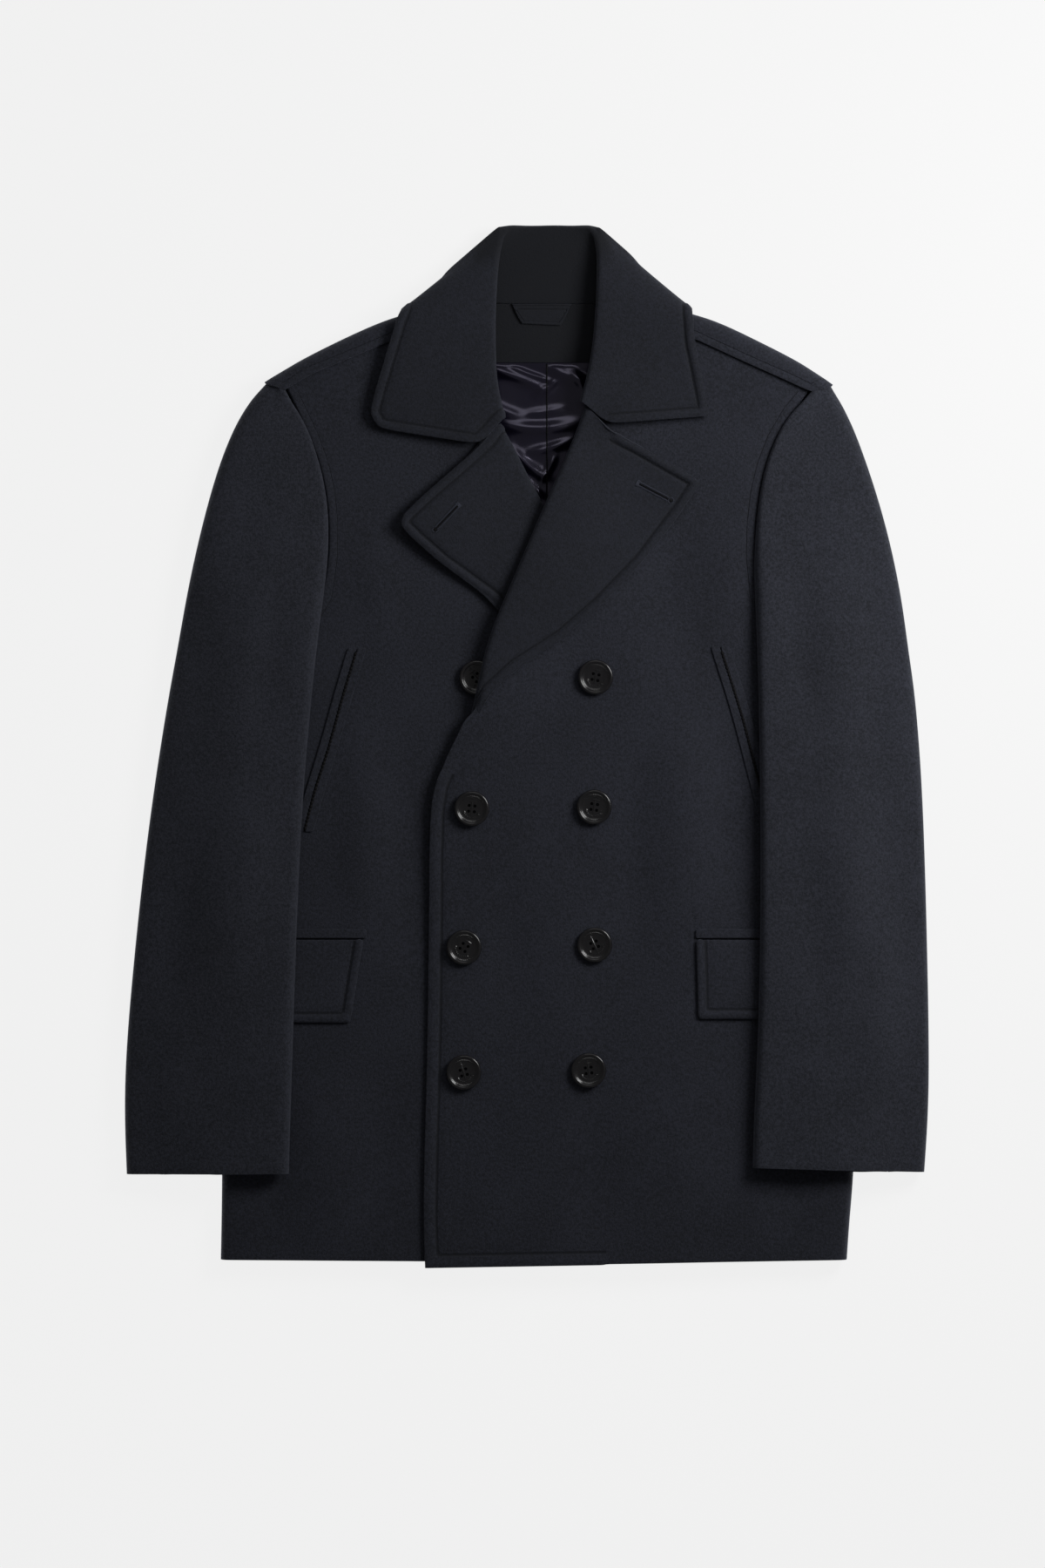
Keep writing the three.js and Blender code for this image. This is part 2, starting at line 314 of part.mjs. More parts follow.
// One closed wall of cloth on both sides of a grid of points; keep says which of its cells there are.
function wall(grid, thickness, keep = () => true) {
  const rows = grid.length;
  const columns = grid[0].length;
  const kept = (i, j) => i >= 0 && j >= 0 && i < rows - 1 && j < columns - 1 && keep(i, j);
  const used = (i, j) => kept(i, j) || kept(i - 1, j) || kept(i, j - 1) || kept(i - 1, j - 1);
  const run = (i, j, di, dj) => {
    const line = [grid[i][j]];
    let k = 0;
    for (let s = 1; s <= 2 && grid[i - s * di]?.[j - s * dj] && used(i - s * di, j - s * dj); s += 1) {
      line.unshift(grid[i - s * di][j - s * dj]);
      k += 1;
    }
    for (let s = 1; s <= 2 && grid[i + s * di]?.[j + s * dj] && used(i + s * di, j + s * dj); s += 1) {
      line.push(grid[i + s * di][j + s * dj]);
    }
    return tangent(line, k);
  };
  // The mean normal of the cells round a point, for where the grid's own two directions nearly agree.
  const cellNormal = (i, j) => {
    const sum = new THREE.Vector3();
    for (const [a, b] of [[i, j], [i - 1, j], [i, j - 1], [i - 1, j - 1]]) {
      if (!kept(a, b)) continue;
      const one = grid[a + 1][b + 1].clone().sub(grid[a][b]);
      const other = grid[a][b + 1].clone().sub(grid[a + 1][b]);
      sum.add(one.cross(other));
    }
    return sum.normalize();
  };
  const positions = [];
  const index = new Map();
  grid.forEach((row, i) => row.forEach((p, j) => {
    if (!used(i, j)) return;
    const cross = run(i, j, 1, 0).cross(run(i, j, 0, 1));
    const normal = cross.length() < SQUARE_ENOUGH ? cellNormal(i, j) : cross.normalize();
    normal.multiplyScalar(thickness / 2);
    index.set(i * columns + j, positions.length / 3);
    positions.push(...p.clone().add(normal).toArray(), ...p.clone().sub(normal).toArray());
  }));
  const triangles = [];
  const corners = [[0, 0], [1, 0], [1, 1], [0, 1]];
  const beside = [[0, -1], [1, 0], [0, 1], [-1, 0]];
  for (let i = 0; i < rows - 1; i += 1) {
    for (let j = 0; j < columns - 1; j += 1) {
      if (!kept(i, j)) continue;
      const [a, b, c, d] = corners.map(([di, dj]) => index.get((i + di) * columns + j + dj));
      triangles.push(a, b, c, a, c, d, a + 1, c + 1, b + 1, a + 1, d + 1, c + 1);
      [a, b, c, d].forEach((p, side, loop) => {
        const [di, dj] = beside[side];
        if (kept(i + di, j + dj)) return;
        const q = loop[(side + 1) % 4];
        triangles.push(q, p, p + 1, q, p + 1, q + 1);
      });
    }
  }
  const geometry = new THREE.BufferGeometry();
  geometry.setAttribute("position", new THREE.Float32BufferAttribute(positions, 3));
  geometry.setIndex(triangles);
  return geometry;
}

// Heights of the panels at a place
const backHeight = ({ x, y }) => {
  const across = ramp(...NECK_EASE.right, x) * (1 - ramp(...NECK_EASE.left, x));
  return BACK_LEVEL + NECK_LIFT * ramp(NECK_EASE.low, NECK_EASE.high, y) * across;
};
const rightHeight = ({ y }) => FRONT_LEVEL + SHOULDER_RISE * ramp(...SHOULDER_EASE, y);
const leftHeight = ({ x, y }) => {
  const reach = lookup(RIGHT_FRONT, "iy", "ix", y);
  const lap = 1 - ramp(reach + LAP_EASE[0], reach + LAP_EASE[1], x);
  const stack = LAP_STEP + LAPEL_STEP * ramp(...LAP_RISE, y);
  const roll = lookup(LEFT_FRONT, "iy", "ix", y);
  const stand = lookup(ROLL_LIFT, "y", "lift", y) * (1 - ramp(0, ROLL_STAND, x - roll));
  return rightHeight({ y }) + stack * lap + stand;
};

// Height of a panel's own flat faces at a place, or of the rule that shaped them just past its edge.
function onPanel(grid, rule) {
  const faces = [];
  for (let i = 0; i + 1 < grid.length; i += 1) {
    for (let j = 0; j + 1 < grid[0].length; j += 1) {
      const [a, b, c, d] = [grid[i][j], grid[i + 1][j], grid[i + 1][j + 1], grid[i][j + 1]];
      faces.push(new THREE.Triangle(a, b, c), new THREE.Triangle(a, c, d));
    }
  }
  const flatFaces = faces.map((f) => new THREE.Triangle(...[f.a, f.b, f.c].map(({ x, y }) => point({ x, y }, 0))));
  const share = new THREE.Vector3();
  return (place) => {
    const p = point(place, 0);
    const k = flatFaces.findIndex((f) => f.getArea() > 1e-6 && f.containsPoint(p));
    if (k < 0) return rule(place);
    flatFaces[k].getBarycoord(p, share);
    return faces[k].a.z * share.x + faces[k].b.z * share.y + faces[k].c.z * share.z;
  };
}

// Three points down a quarter turn of the given radius at a panel's edge; side is -1 down, +1 up.
function curlPoints(start, along, radius, height, side) {
  return [90, 60, 30].map((degrees) => {
    const a = degToRad(degrees);
    const p = start.clone().addScaledVector(along, -radius * Math.sin(a));
    return point(p, height + side * radius * (1 - Math.cos(a)));
  });
}

// The direction square to a line of places at its k-th, on the side where aim lies.
function square(line, k, aim) {
  const before = line[Math.max(0, k - 1)];
  const after = line[Math.min(line.length - 1, k + 1)];
  const along = towards(before, after);
  const aside = flat(-along.y, along.x);
  return aside.dot(towards(line[k], aim)) < 0 ? aside.negate() : aside;
}

function front(table, height, columns) {
  const edge = table.map((row) => flat(row.ix, row.iy));
  return table.map((row, k) => {
    const outer = flat(row.ox, row.oy);
    const inner = edge[k].clone().addScaledVector(square(edge, k, outer), row.tuck);
    const along = towards(outer, inner);
    const radius = row.curl - GAP / 2;
    const start = outer.clone().addScaledVector(along, row.curl + CLOTH / 2);
    const turn = curlPoints(start, along, radius, height(start), -1);
    const across = steps(columns).map((t) => {
      const p = between(start, inner, t);
      return point(p, height(p));
    });
    return [...turn, ...across];
  });
}

// A shoulder station: where the turn over the shoulder starts, its radius and its direction.
function shoulder({ fx, fy, sx, sy }) {
  const fold = flat(fx, fy);
  const seam = flat(sx, sy);
  const out = towards(seam, fold);
  const low = backHeight(fold);
  const radius = (SHOULDER_LEVEL - low) / 2;
  const start = fold.clone().addScaledVector(out, -radius - CLOTH / 2);
  return { start, seam, out, low, radius };
}

// The shoulders' own edges turn up a little, and the cloth turns over the top in these steps.
const SHOULDER_CURL = 0.9;
const SHOULDER_TURN = [30, 60, 90, 120, 150, 180];
function back() {
  const right = RIGHT_SHOULDER.map(shoulder);
  const left = LEFT_SHOULDER.map(shoulder).reverse();
  const stations = [...right, ...NECK.map(({ x, y }) => ({ start: flat(x, y) })), ...left];
  const cap = stations.map((station) => station.start);
  const first = cap[0];
  const last = cap[cap.length - 1];
  const share = cap.map((p) => (p.x - first.x) / (last.x - first.x));
  const edgeTurn = (row, curl) => {
    const a = flat(row[0].x, row[0].y);
    const b = flat(row[row.length - 1].x, row[row.length - 1].y);
    const along = towards(a, b);
    const radius = curl - GAP / 2;
    return [
      ...curlPoints(a, along, radius, row[0].z, 1),
      ...row,
      ...curlPoints(b, along.clone().negate(), radius, row[row.length - 1].z, 1).reverse(),
    ];
  };
  const grid = BACK.map((row) => {
    const l = flat(row.lx, row.ly);
    const r = flat(row.rx, row.ry);
    const inset = row.curl + CLOTH / 2;
    const a = l.clone().addScaledVector(towards(l, r), inset);
    const b = r.clone().addScaledVector(towards(r, l), inset);
    return edgeTurn(share.map((t, j) => {
      const bend = cap[j].clone().sub(between(first, last, t)).multiplyScalar(row.cap);
      const p = between(a, b, t).add(bend);
      return point(p, backHeight(p));
    }), row.curl);
  });
  grid.push(edgeTurn(cap.map((p) => point(p, backHeight(p))), SHOULDER_CURL));
  const seamRow = grid.length - 1;
  const over = [...SHOULDER_TURN, "half", "seam"];
  over.forEach((stop) => grid.push(edgeTurn(stations.map(({ start, seam, out, low, radius }) => {
    if (!seam) return point(start, backHeight(start));
    if (stop === "seam") return point(seam, SHOULDER_LEVEL);
    if (stop === "half") return point(between(start, seam, 0.5), SHOULDER_LEVEL);
    const a = degToRad(stop);
    const p = start.clone().addScaledVector(out, radius * Math.sin(a));
    return point(p, low + radius * (1 - Math.cos(a)));
  }), SHOULDER_CURL)));
  const turns = 3; // points in the turn at each edge
  const onShoulder = (j) => (j >= turns && j < turns + right.length - 1)
    || (j >= turns + right.length + NECK.length && j < turns + cap.length - 1);
  return wall(grid, CLOTH, (i, j) => i < seamRow || onShoulder(j));
}

// The body's own edge under a sleeve, up to where the armhole starts.
const ARMHOLE_FOOT = 60;
const bodyEdge = (side, y) => {
  const at = Math.min(y, ARMHOLE_FOOT);
  return side < 0 ? lookup(BACK, "ly", "lx", at) : lookup(BACK, "ry", "rx", at);
};
// Above the body a sleeve slopes from this share of its width, and never later than the most.
const CAP_SLOPE = 0.45;
const SLOPE_MOST = 0.6;
const SLOPE_LEAD = 0.1;

// Sleeve sections run over the top, round the outer fold and in underneath.

function sleeveTop(table, side) {
  return table.map((row) => {
    const inner = flat(row.ix, row.iy);
    const outer = flat(row.ox, row.oy);
    const under = flat(row.bx, row.by);
    const out = towards(inner, outer);
    const radius = row.top - row.seam;
    inner.addScaledVector(out, radius + CLOTH / 2 + GAP / 2);
    outer.addScaledVector(out, -row.fold - CLOTH / 2);
    const turn = [0, 30, 60].map((degrees) => {
      const a = degToRad(degrees);
      return point(inner.clone().addScaledVector(out, -radius * Math.cos(a)), row.seam + radius * Math.sin(a));
    });
    const foldTop = BACK_LEVEL + 2 * row.fold;
    const edge = row.ride ? Math.abs(bodyEdge(side, inner.y) - inner.x) / inner.distanceTo(outer) : CAP_SLOPE;
    const crown = steps(6).map((t) => {
      const drop = ramp(Math.min(edge, SLOPE_MOST) - SLOPE_LEAD, 1, t);
      return point(between(inner, outer, t), lerp(row.top, foldTop, drop));
    });
    const fold = [30, 60, 90, 120, 150].map((degrees) => {
      const a = degToRad(degrees);
      const p = outer.clone().addScaledVector(out, row.fold * Math.sin(a));
      return point(p, BACK_LEVEL + row.fold * (1 + Math.cos(a)));
    });
    const beneath = steps(3).map((t) => point(between(outer, under, t), BACK_LEVEL));
    return [...turn, ...crown, ...fold, ...beneath];
  });
}

function sleeveUnder(table, side) {
  return table.filter((row) => row.ride).map((row) => {
    const inner = flat(row.ix, row.iy);
    const under = flat(row.bx, row.by);
    const out = towards(inner, under);
    under.addScaledVector(out, -2 * GAP);
    const low = SLEEVE_LEVEL;
    const radius = row.seam - GAP - low;
    inner.addScaledVector(out, radius + CLOTH / 2);
    const turn = [90, 60, 30].map((degrees) => {
      const a = degToRad(degrees);
      const p = inner.clone().addScaledVector(out, -radius * Math.sin(a));
      return point(p, low + radius * (1 - Math.cos(a)));
    });
    const edge = Math.abs(bodyEdge(side, row.iy) - inner.x);
    const length = inner.distanceTo(under);
    const down = Math.min(RAMP, length - edge - 1);
    const stops = [0, 0.5, 1].map((t) => t * edge);
    const slope = [0.2, 0.4, 0.6, 0.8, 1].map((t) => edge + t * down);
    const across = [...stops, ...slope, length].map((distance) => {
      const p = inner.clone().addScaledVector(out, distance);
      return point(p, lerp(low, BACK_LEVEL, ramp(edge, edge + down, distance)));
    });
    return [...turn, ...across];
  });
}

const NOTCH_SHARE = 0.25; // of the leaf's width, from the roll to the notch
// One section of the collar, from the neck seam round the roll to the free edge.
function collarSection(row, side) {
  const seam = new THREE.Vector3(row.nx, row.ny, row.nz);
  const roll = new THREE.Vector3(row.rx, row.ry, row.rz);
  const edge = new THREE.Vector3(row.ex, row.ey, row.ez);
  const out = new THREE.Vector3(row.rx - row.nx, row.ry - row.ny, 0).normalize();
  const aside = new THREE.Vector3(-out.y, out.x, 0).multiplyScalar(-side);
  const turn = degToRad(row.turn);
  const fall = aside.multiplyScalar(Math.sin(turn)).setZ(Math.cos(turn));
  const arc = steps(4).map((t) => {
    const a = Math.PI * t;
    return roll.clone()
      .addScaledVector(fall, -COLLAR_ROLL * Math.cos(a))
      .addScaledVector(out, COLLAR_ROLL * Math.sin(a));
  });
  const stand = [0, 0.5].map((t) => between(seam, arc[0], t));
  const notch = between(arc[4], edge, NOTCH_SHARE);
  if (row.gx) notch.setX(row.gx).setY(row.gy);
  const leaf = [between(arc[4], notch, 0.5), notch, ...steps(4).slice(1).map((t) => between(notch, edge, t))];
  return [...stand, ...arc, ...leaf];
}

// A lapel's inner leg starts this far inside its roll, and its leaf bows where it is this wide.
const LEG = [9, 4.5];
const BELLY_WIDTH = [50, 90];
function lapel(table, height) {
  const rolls = table.map((row) => flat(row.rx, row.ry));
  return table.map((row, k) => {
    const roll = rolls[k];
    const edge = flat(row.ex, row.ey);
    const out = square(rolls, k, edge);
    const centre = roll.clone().addScaledVector(out, ROLL_REACH);
    const level = height(centre);
    const leg = LEG.map((distance) => {
      const p = centre.clone().addScaledVector(out, distance);
      return point(p, height(p) - ROLL);
    });
    const turn = steps(4).map((t) => {
      const a = Math.PI * t;
      return point(centre.clone().addScaledVector(out, -ROLL * Math.sin(a)), level - ROLL * Math.cos(a));
    });
    const belly = BELLY * ramp(...BELLY_WIDTH, roll.distanceTo(edge));
    const leaf = steps(8).slice(1).map((t) => {
      const p = between(centre, edge, t);
      return point(p, height(p) + ROLL + belly * Math.sin(Math.PI * t) + row.lift * ramp(0, 1, t));
    });
    return [...leg, ...turn, ...leaf];
  });
}

// A flat patch between two lines of points, at a height above what it lies on.
function patch(one, other, columns, height, above) {
  return one.map((p, i) => steps(columns).map((t) => {
    const q = between(flat(p.x, p.y), flat(other[i].x, other[i].y), t);
    return point(q, height(q) + above);
  }));
}

const MELTON = new THREE.MeshStandardMaterial({ color: 0x22252c, roughness: 0.95, metalness: 0 });
const FACING = new THREE.MeshStandardMaterial({ color: 0x24272e, roughness: 0.95, metalness: 0 });
const SATIN_NAVY = new THREE.MeshStandardMaterial({ color: 0x1a1a2c, roughness: 0.35, metalness: 0 });
const HORN = new THREE.MeshStandardMaterial({ color: 0x08090b, roughness: 0.22, metalness: 0 });

const coat = new THREE.Group();
function add(name, geometry, material) {
  const mesh = new THREE.Mesh(geometry, material);
  mesh.name = name;
  coat.add(mesh);
  return mesh;
}

add("back", back(), MELTON);
const rightFront = front(RIGHT_FRONT, rightHeight, 11);
const leftFront = front(LEFT_FRONT, leftHeight, 16);
const onRight = onPanel(rightFront, rightHeight);
const onLeft = onPanel(leftFront, leftHeight);
add("front_right", wall(rightFront, CLOTH), MELTON);
add("front_left", wall(leftFront, CLOTH), MELTON);
for (const [name, table, side] of [["right", RIGHT_SLEEVE, -1], ["left", LEFT_SLEEVE, 1]]) {
  add(`sleeve_top_${name}`, wall(sleeveTop(table, side), CLOTH), MELTON);
  add(`sleeve_under_${name}`, wall(sleeveUnder(table, side), CLOTH), MELTON);
}
add("collar", wall([
  ...RIGHT_COLLAR.map((row) => collarSection(row, -1)),
  ...LEFT_COLLAR.map((row) => collarSection(row, 1)).reverse(),
], COLLAR), FACING);
add("facing_right", wall(lapel(RIGHT_LAPEL, onRight), LAPEL), FACING);
add("facing_left", wall(lapel(LEFT_LAPEL, onLeft), LAPEL), FACING);

// Inside the neck: facing, lining and hanger loop
const FACING_CLOTH = 2.0;
const facingAbove = CLOTH / 2 + 2 * GAP + FACING_CLOTH / 2;
const NECK_LOW = 317.3;
const columnOf = (x, ys) => ys.map((y) => ({ x, y }));
const INSIDE = { right: -38, centre: 16.6, left: 70 };
const facingRows = [NECK_LOW + GAP, 328, 340, 352, 362.5];
add("facing_neck", wall(patch(columnOf(INSIDE.right, facingRows), columnOf(INSIDE.left, facingRows), 4,
  backHeight, facingAbove), FACING_CLOTH), FACING);
const liningAbove = CLOTH / 2 + 2 * GAP + SATIN / 2;
const liningRows = [155, 200, 245, 290, 303, NECK_LOW];
add("lining_right", wall(patch(columnOf(INSIDE.right, liningRows), columnOf(INSIDE.centre - GAP / 2, liningRows),
  2, backHeight, liningAbove), SATIN), SATIN_NAVY);
add("lining_left", wall(patch(columnOf(INSIDE.centre + GAP / 2, liningRows), columnOf(INSIDE.left, liningRows),
  2, backHeight, liningAbove), SATIN), SATIN_NAVY);
const LOOP_CLOTH = 1.6;
const loopTop = [{ x: -12.4, y: 362.4 }, { x: 12, y: 362.4 }, { x: 37.0, y: 362.4 }];
const loopLow = [{ x: -3.7, y: 349.4 }, { x: 12.0, y: 348.6 }, { x: 28.1, y: 347.9 }];
add("hanger_loop", wall(patch(loopTop, loopLow, 2, backHeight,
  facingAbove + FACING_CLOTH / 2 + GAP + LOOP_CLOTH / 2), LOOP_CLOTH), FACING);

// Pockets: two lips at each slanted slit, a flap and its jet below
const WELT_CLOTH = 2.0;
const WELT_WIDTH = 7.5;
const pocketAbove = CLOTH / 2 + GAP + WELT_CLOTH / 2;
const shifted = (line, distance) => line.map(({ x, y }) => ({ x: x + distance, y }));
for (const [name, slit, height, side] of [["right", RIGHT_SLIT, onRight, -1], ["left", LEFT_SLIT, onLeft, 1]]) {
  const lips = { front: -side, back: side };
  for (const [lip, way] of Object.entries(lips)) {
    add(`welt_${lip}_${name}`, wall(patch(shifted(slit, way * GAP), shifted(slit, way * (GAP + WELT_WIDTH)), 2,
      height, pocketAbove), WELT_CLOTH), MELTON);
  }
}
const FLAP_CLOTH = 2.4;
const flapAbove = CLOTH / 2 + GAP + FLAP_CLOTH / 2;
const flaps = {
  right: { height: onRight, jet: -132.6, top: [-135.0, -231.0], low: [-146.0, -239.6], y: [-161.0, -229.0] },
  left: { height: onLeft, jet: 139.9, top: [141.0, 247.0], low: [142.7, 248.6], y: [-161.0, -226.0] },
};
const JET = { low: -159.2, high: -152.0 };
for (const [name, { height, jet, top, low, y }] of Object.entries(flaps)) {
  const topLine = steps(4).map((t) => ({ x: lerp(top[0], top[1], t), y: y[0] }));
  const lowLine = steps(4).map((t) => ({ x: lerp(low[0], low[1], t), y: y[1] }));
  add(`flap_${name}`, wall(patch(topLine, lowLine, 3, height, flapAbove), FLAP_CLOTH), MELTON);
  const jetEnd = top[1];
  const jetLow = steps(4).map((t) => ({ x: lerp(jet, jetEnd, t), y: JET.low }));
  const jetHigh = steps(4).map((t) => ({ x: lerp(jet, jetEnd, t), y: JET.high }));
  add(`jet_${name}`, wall(patch(jetHigh, jetLow, 1, height, pocketAbove), WELT_CLOTH), MELTON);
}

// A button: thread shank, round base, raised rim and dished face
function button() {
  const base = SHANK_HEIGHT;
  const top = SHANK_HEIGHT + BUTTON_HEIGHT;
  const profile = [
    [0, 0], [SHANK_RADIUS, 0], [SHANK_RADIUS, base], [BUTTON_RADIUS - 2.5, base],
    [BUTTON_RADIUS, base + 1.6], [BUTTON_RADIUS, top - 0.9], [BUTTON_RADIUS - 1.0, top],
    [BUTTON_RADIUS - 2.4, top - 0.3], [BUTTON_RADIUS - 3.4, top - 1.2], [0, top - 1.4],
  ].map(([x, y]) => new THREE.Vector2(x, y));
  return new THREE.LatheGeometry(profile, 20).rotateX(Math.PI / 2);
}
for (const { name, x, y, on } of BUTTONS) {
  const height = on === "left" ? onLeft : onRight;
  const mesh = add(name, button(), HORN);
  mesh.position.set(x, y, height({ x, y }) + CLOTH / 2 + GAP);
}

export default coat;
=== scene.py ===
# %% [markdown]
# A double-breasted pea coat of dark melton wool, laid flat on its back on a pale floor.
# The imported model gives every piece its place. Here each stiff wall of cloth becomes a soft shell
# with folds, seams and nap, and the buttons get their turned form. Lengths on the coat are written
# in millimetres and become metres through MM. The lights, the floor and the cuts are in metres.

import math

import bmesh
import bpy
import numpy as np
from mathutils import Matrix, Vector
from mathutils.bvhtree import BVHTree
from mathutils.kdtree import KDTree


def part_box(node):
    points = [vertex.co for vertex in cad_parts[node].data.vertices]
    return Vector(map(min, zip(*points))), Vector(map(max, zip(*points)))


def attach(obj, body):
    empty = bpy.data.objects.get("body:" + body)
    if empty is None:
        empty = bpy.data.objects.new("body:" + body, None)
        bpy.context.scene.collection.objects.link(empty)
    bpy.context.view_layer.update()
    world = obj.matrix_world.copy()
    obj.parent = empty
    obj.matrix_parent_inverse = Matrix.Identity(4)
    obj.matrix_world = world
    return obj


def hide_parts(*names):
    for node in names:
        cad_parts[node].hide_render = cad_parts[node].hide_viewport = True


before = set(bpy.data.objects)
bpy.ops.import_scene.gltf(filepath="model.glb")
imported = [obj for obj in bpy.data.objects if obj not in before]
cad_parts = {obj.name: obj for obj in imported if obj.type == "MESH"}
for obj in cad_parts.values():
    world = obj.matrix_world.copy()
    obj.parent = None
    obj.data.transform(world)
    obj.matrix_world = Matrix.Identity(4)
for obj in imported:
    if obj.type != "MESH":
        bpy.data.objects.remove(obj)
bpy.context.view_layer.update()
MM = 0.001

# %% [markdown]
# The photograph looks straight down on the coat. A long lens far above it shows the coat almost
# without perspective, so the outline keeps the proportions that were measured from it.

# %% Camera
PIXEL = 0.72 * MM
PICTURE_HEIGHT = 1800 * PIXEL
CAMERA_DISTANCE = 5.0
CAMERA_AIM = Vector((-3.4, -31.9, 20.0)) * MM
SENSOR = 36.0

lens = bpy.data.cameras.new("camera")
lens.sensor_width = SENSOR
lens.lens = SENSOR * CAMERA_DISTANCE / PICTURE_HEIGHT
lens.clip_end = 20.0
camera = bpy.data.objects.new("camera", lens)
camera.location = CAMERA_AIM + Vector((0, 0, CAMERA_DISTANCE))
bpy.context.collection.objects.link(camera)
bpy.context.scene.camera = camera
bpy.context.scene.view_settings.view_transform = "Standard"
print("lens:", round(lens.lens, 1), "mm")

# %% [markdown]
# Dark wool shows its form only by how the light grazes it. One soft light stands at the upper right,
# as in the photograph, close enough that the wearer's left sleeve is brighter than the right one.
# The sky lifts the shadows a little, and the floor glows, as a lit paper sweep does.

# %% Light and floor
AIM = Vector((0, 0, 0))
SKY = 0.125
SOFTBOXES = [
    {"name": "key light", "place": (0.86, 0.50, 0.78), "size": 0.6, "power": 11.3},
    {"name": "fill light", "place": (0.1, 1.3, 1.5), "size": 1.0, "power": 2.5},
]


def softbox(name, place, size, power):
    light = bpy.data.lights.new(name, "AREA")
    light.shape = "DISK"
    light.size = size
    light.energy = power
    lamp = bpy.data.objects.new(name, light)
    lamp.location = place
    lamp.rotation_euler = (AIM - Vector(place)).to_track_quat("-Z", "Y").to_euler()
    bpy.context.collection.objects.link(lamp)


for row in SOFTBOXES:
    softbox(**row)
world = bpy.data.worlds.new("studio")
world.use_nodes = True
sky = world.node_tree.nodes["Background"]
sky.inputs["Color"].default_value = (1.0, 1.0, 1.0, 1.0)
sky.inputs["Strength"].default_value = SKY
bpy.context.scene.world = world
print("lights:", [row["name"] for row in SOFTBOXES])

# %% [markdown]
# Every finish is a node material. Wire wraps an output socket, so that shader maths reads as plain
# Python, and Paint.node adds any node from its type, its settings and what its sockets get.

# %% Shader helpers
OBJECT_COORDINATES = 3
ATTRIBUTE_VALUE = 2
MIXED_COLOR = 2


class Wire:
    """An output socket, with Python's operators as Math nodes."""

    def __init__(self, paint, socket):
        self.paint = paint
        self.socket = socket

    def math(self, operation, *others, before=()):
        values = dict(enumerate((*before, self, *others)))
        return self.paint.node("ShaderNodeMath", {"operation": operation}, values)

    def __add__(self, other):
        return self.math("ADD", other)

    def __sub__(self, other):
        return self.math("SUBTRACT", other)

    def __rsub__(self, other):
        return self.math("SUBTRACT", before=(other,))

    def __mul__(self, other):
        return self.math("MULTIPLY", other)

    def between(self, low, high):
        """0 at low, 1 at high and a smooth rise from one to the other."""
        settings = {"interpolation_type": "SMOOTHSTEP"}
        inputs = {"Value": self, "From Min": low, "From Max": high}
        return self.paint.node("ShaderNodeMapRange", settings, inputs)


class Paint:
    """A material being mixed, with what is the same all over set on the shader itself."""

    def __init__(self, name, **constants):
        self.material = bpy.data.materials.new(name)
        self.material.use_nodes = True
        self.tree = self.material.node_tree
        self.surface = self.tree.nodes["Principled BSDF"]
        for socket, value in constants.items():
            self.feed(self.surface.inputs[socket.replace("_", " ")], value)

    def feed(self, socket, value):
        if isinstance(value, Wire):
            self.tree.links.new(value.socket, socket)
        else:
            socket.default_value = value

    def node(self, kind, settings=None, inputs=None, out=0):
        made = self.tree.nodes.new(kind)
        for name, value in (settings or {}).items():
            setattr(made, name, value)
        for socket, value in (inputs or {}).items():
            self.feed(made.inputs[socket], value)
        return Wire(self, made.outputs[out])

    def place(self, scale=(1, 1, 1)):
        """Object coordinates in millimetres, stretched by scale."""
        at = self.node("ShaderNodeTexCoord", out=OBJECT_COORDINATES)
        return self.node("ShaderNodeMapping", None, {"Vector": at, "Scale": [s / MM for s in scale]})

    def noise(self, at, size, detail=2.0, roughness=0.5):
        """Cloudy pattern from 0 to 1, with spots about size millimetres across."""
        inputs = {"Vector": at, "Scale": 1 / size, "Detail": detail, "Roughness": roughness}
        return self.node("ShaderNodeTexNoise", None, inputs)

    def mix(self, share, first, second):
        inputs = {0: share, 6: first, 7: second}
        return self.node("ShaderNodeMix", {"data_type": "RGBA"}, inputs, out=MIXED_COLOR)

    def attribute(self, name):
        """What a mesh says about each of its points, or 0 where it says nothing."""
        return self.node("ShaderNodeAttribute", {"attribute_name": name}, out=ATTRIBUTE_VALUE)

    def finish(self, color, roughness, height, strength=1.0):
        """Sets what changes over the surface. height is in millimetres."""
        self.feed(self.surface.inputs["Base Color"], color)
        self.feed(self.surface.inputs["Roughness"], roughness)
        inputs = {"Strength": strength, "Distance": MM, "Height": height}
        bump = self.node("ShaderNodeBump", None, inputs)
        self.feed(self.surface.inputs["Normal"], bump)
        return self.material


# %% [markdown]
# Melton is woven wool, felted until the weave is gone and brushed to a short nap. Close up it is a
# matt cloud of fine fibres in slightly different blues. Each shell carries an attribute, seam, the
# distance to its nearest row of stitches in millimetres, so a groove is pressed in along every row,
# and painted shade darkens the colour along it. A second one, shade, is 1 inside the neck, where
# painted shade darkens the nap. In the photograph the sleeves are lighter than the body and the
# collar is darker, so there are three tones: the sleeves get a lighter copy of the melton, which is
# painted light, and the collar a darker copy, which is painted shade.

# %% Melton
GROOVE = 1.9
STITCH_PULL = 0.8
CLOUD_SIZE = 55.0
GRAIN_SIZE = 2.3
FIBRE_SIZE = 0.7
MATT = 0.86


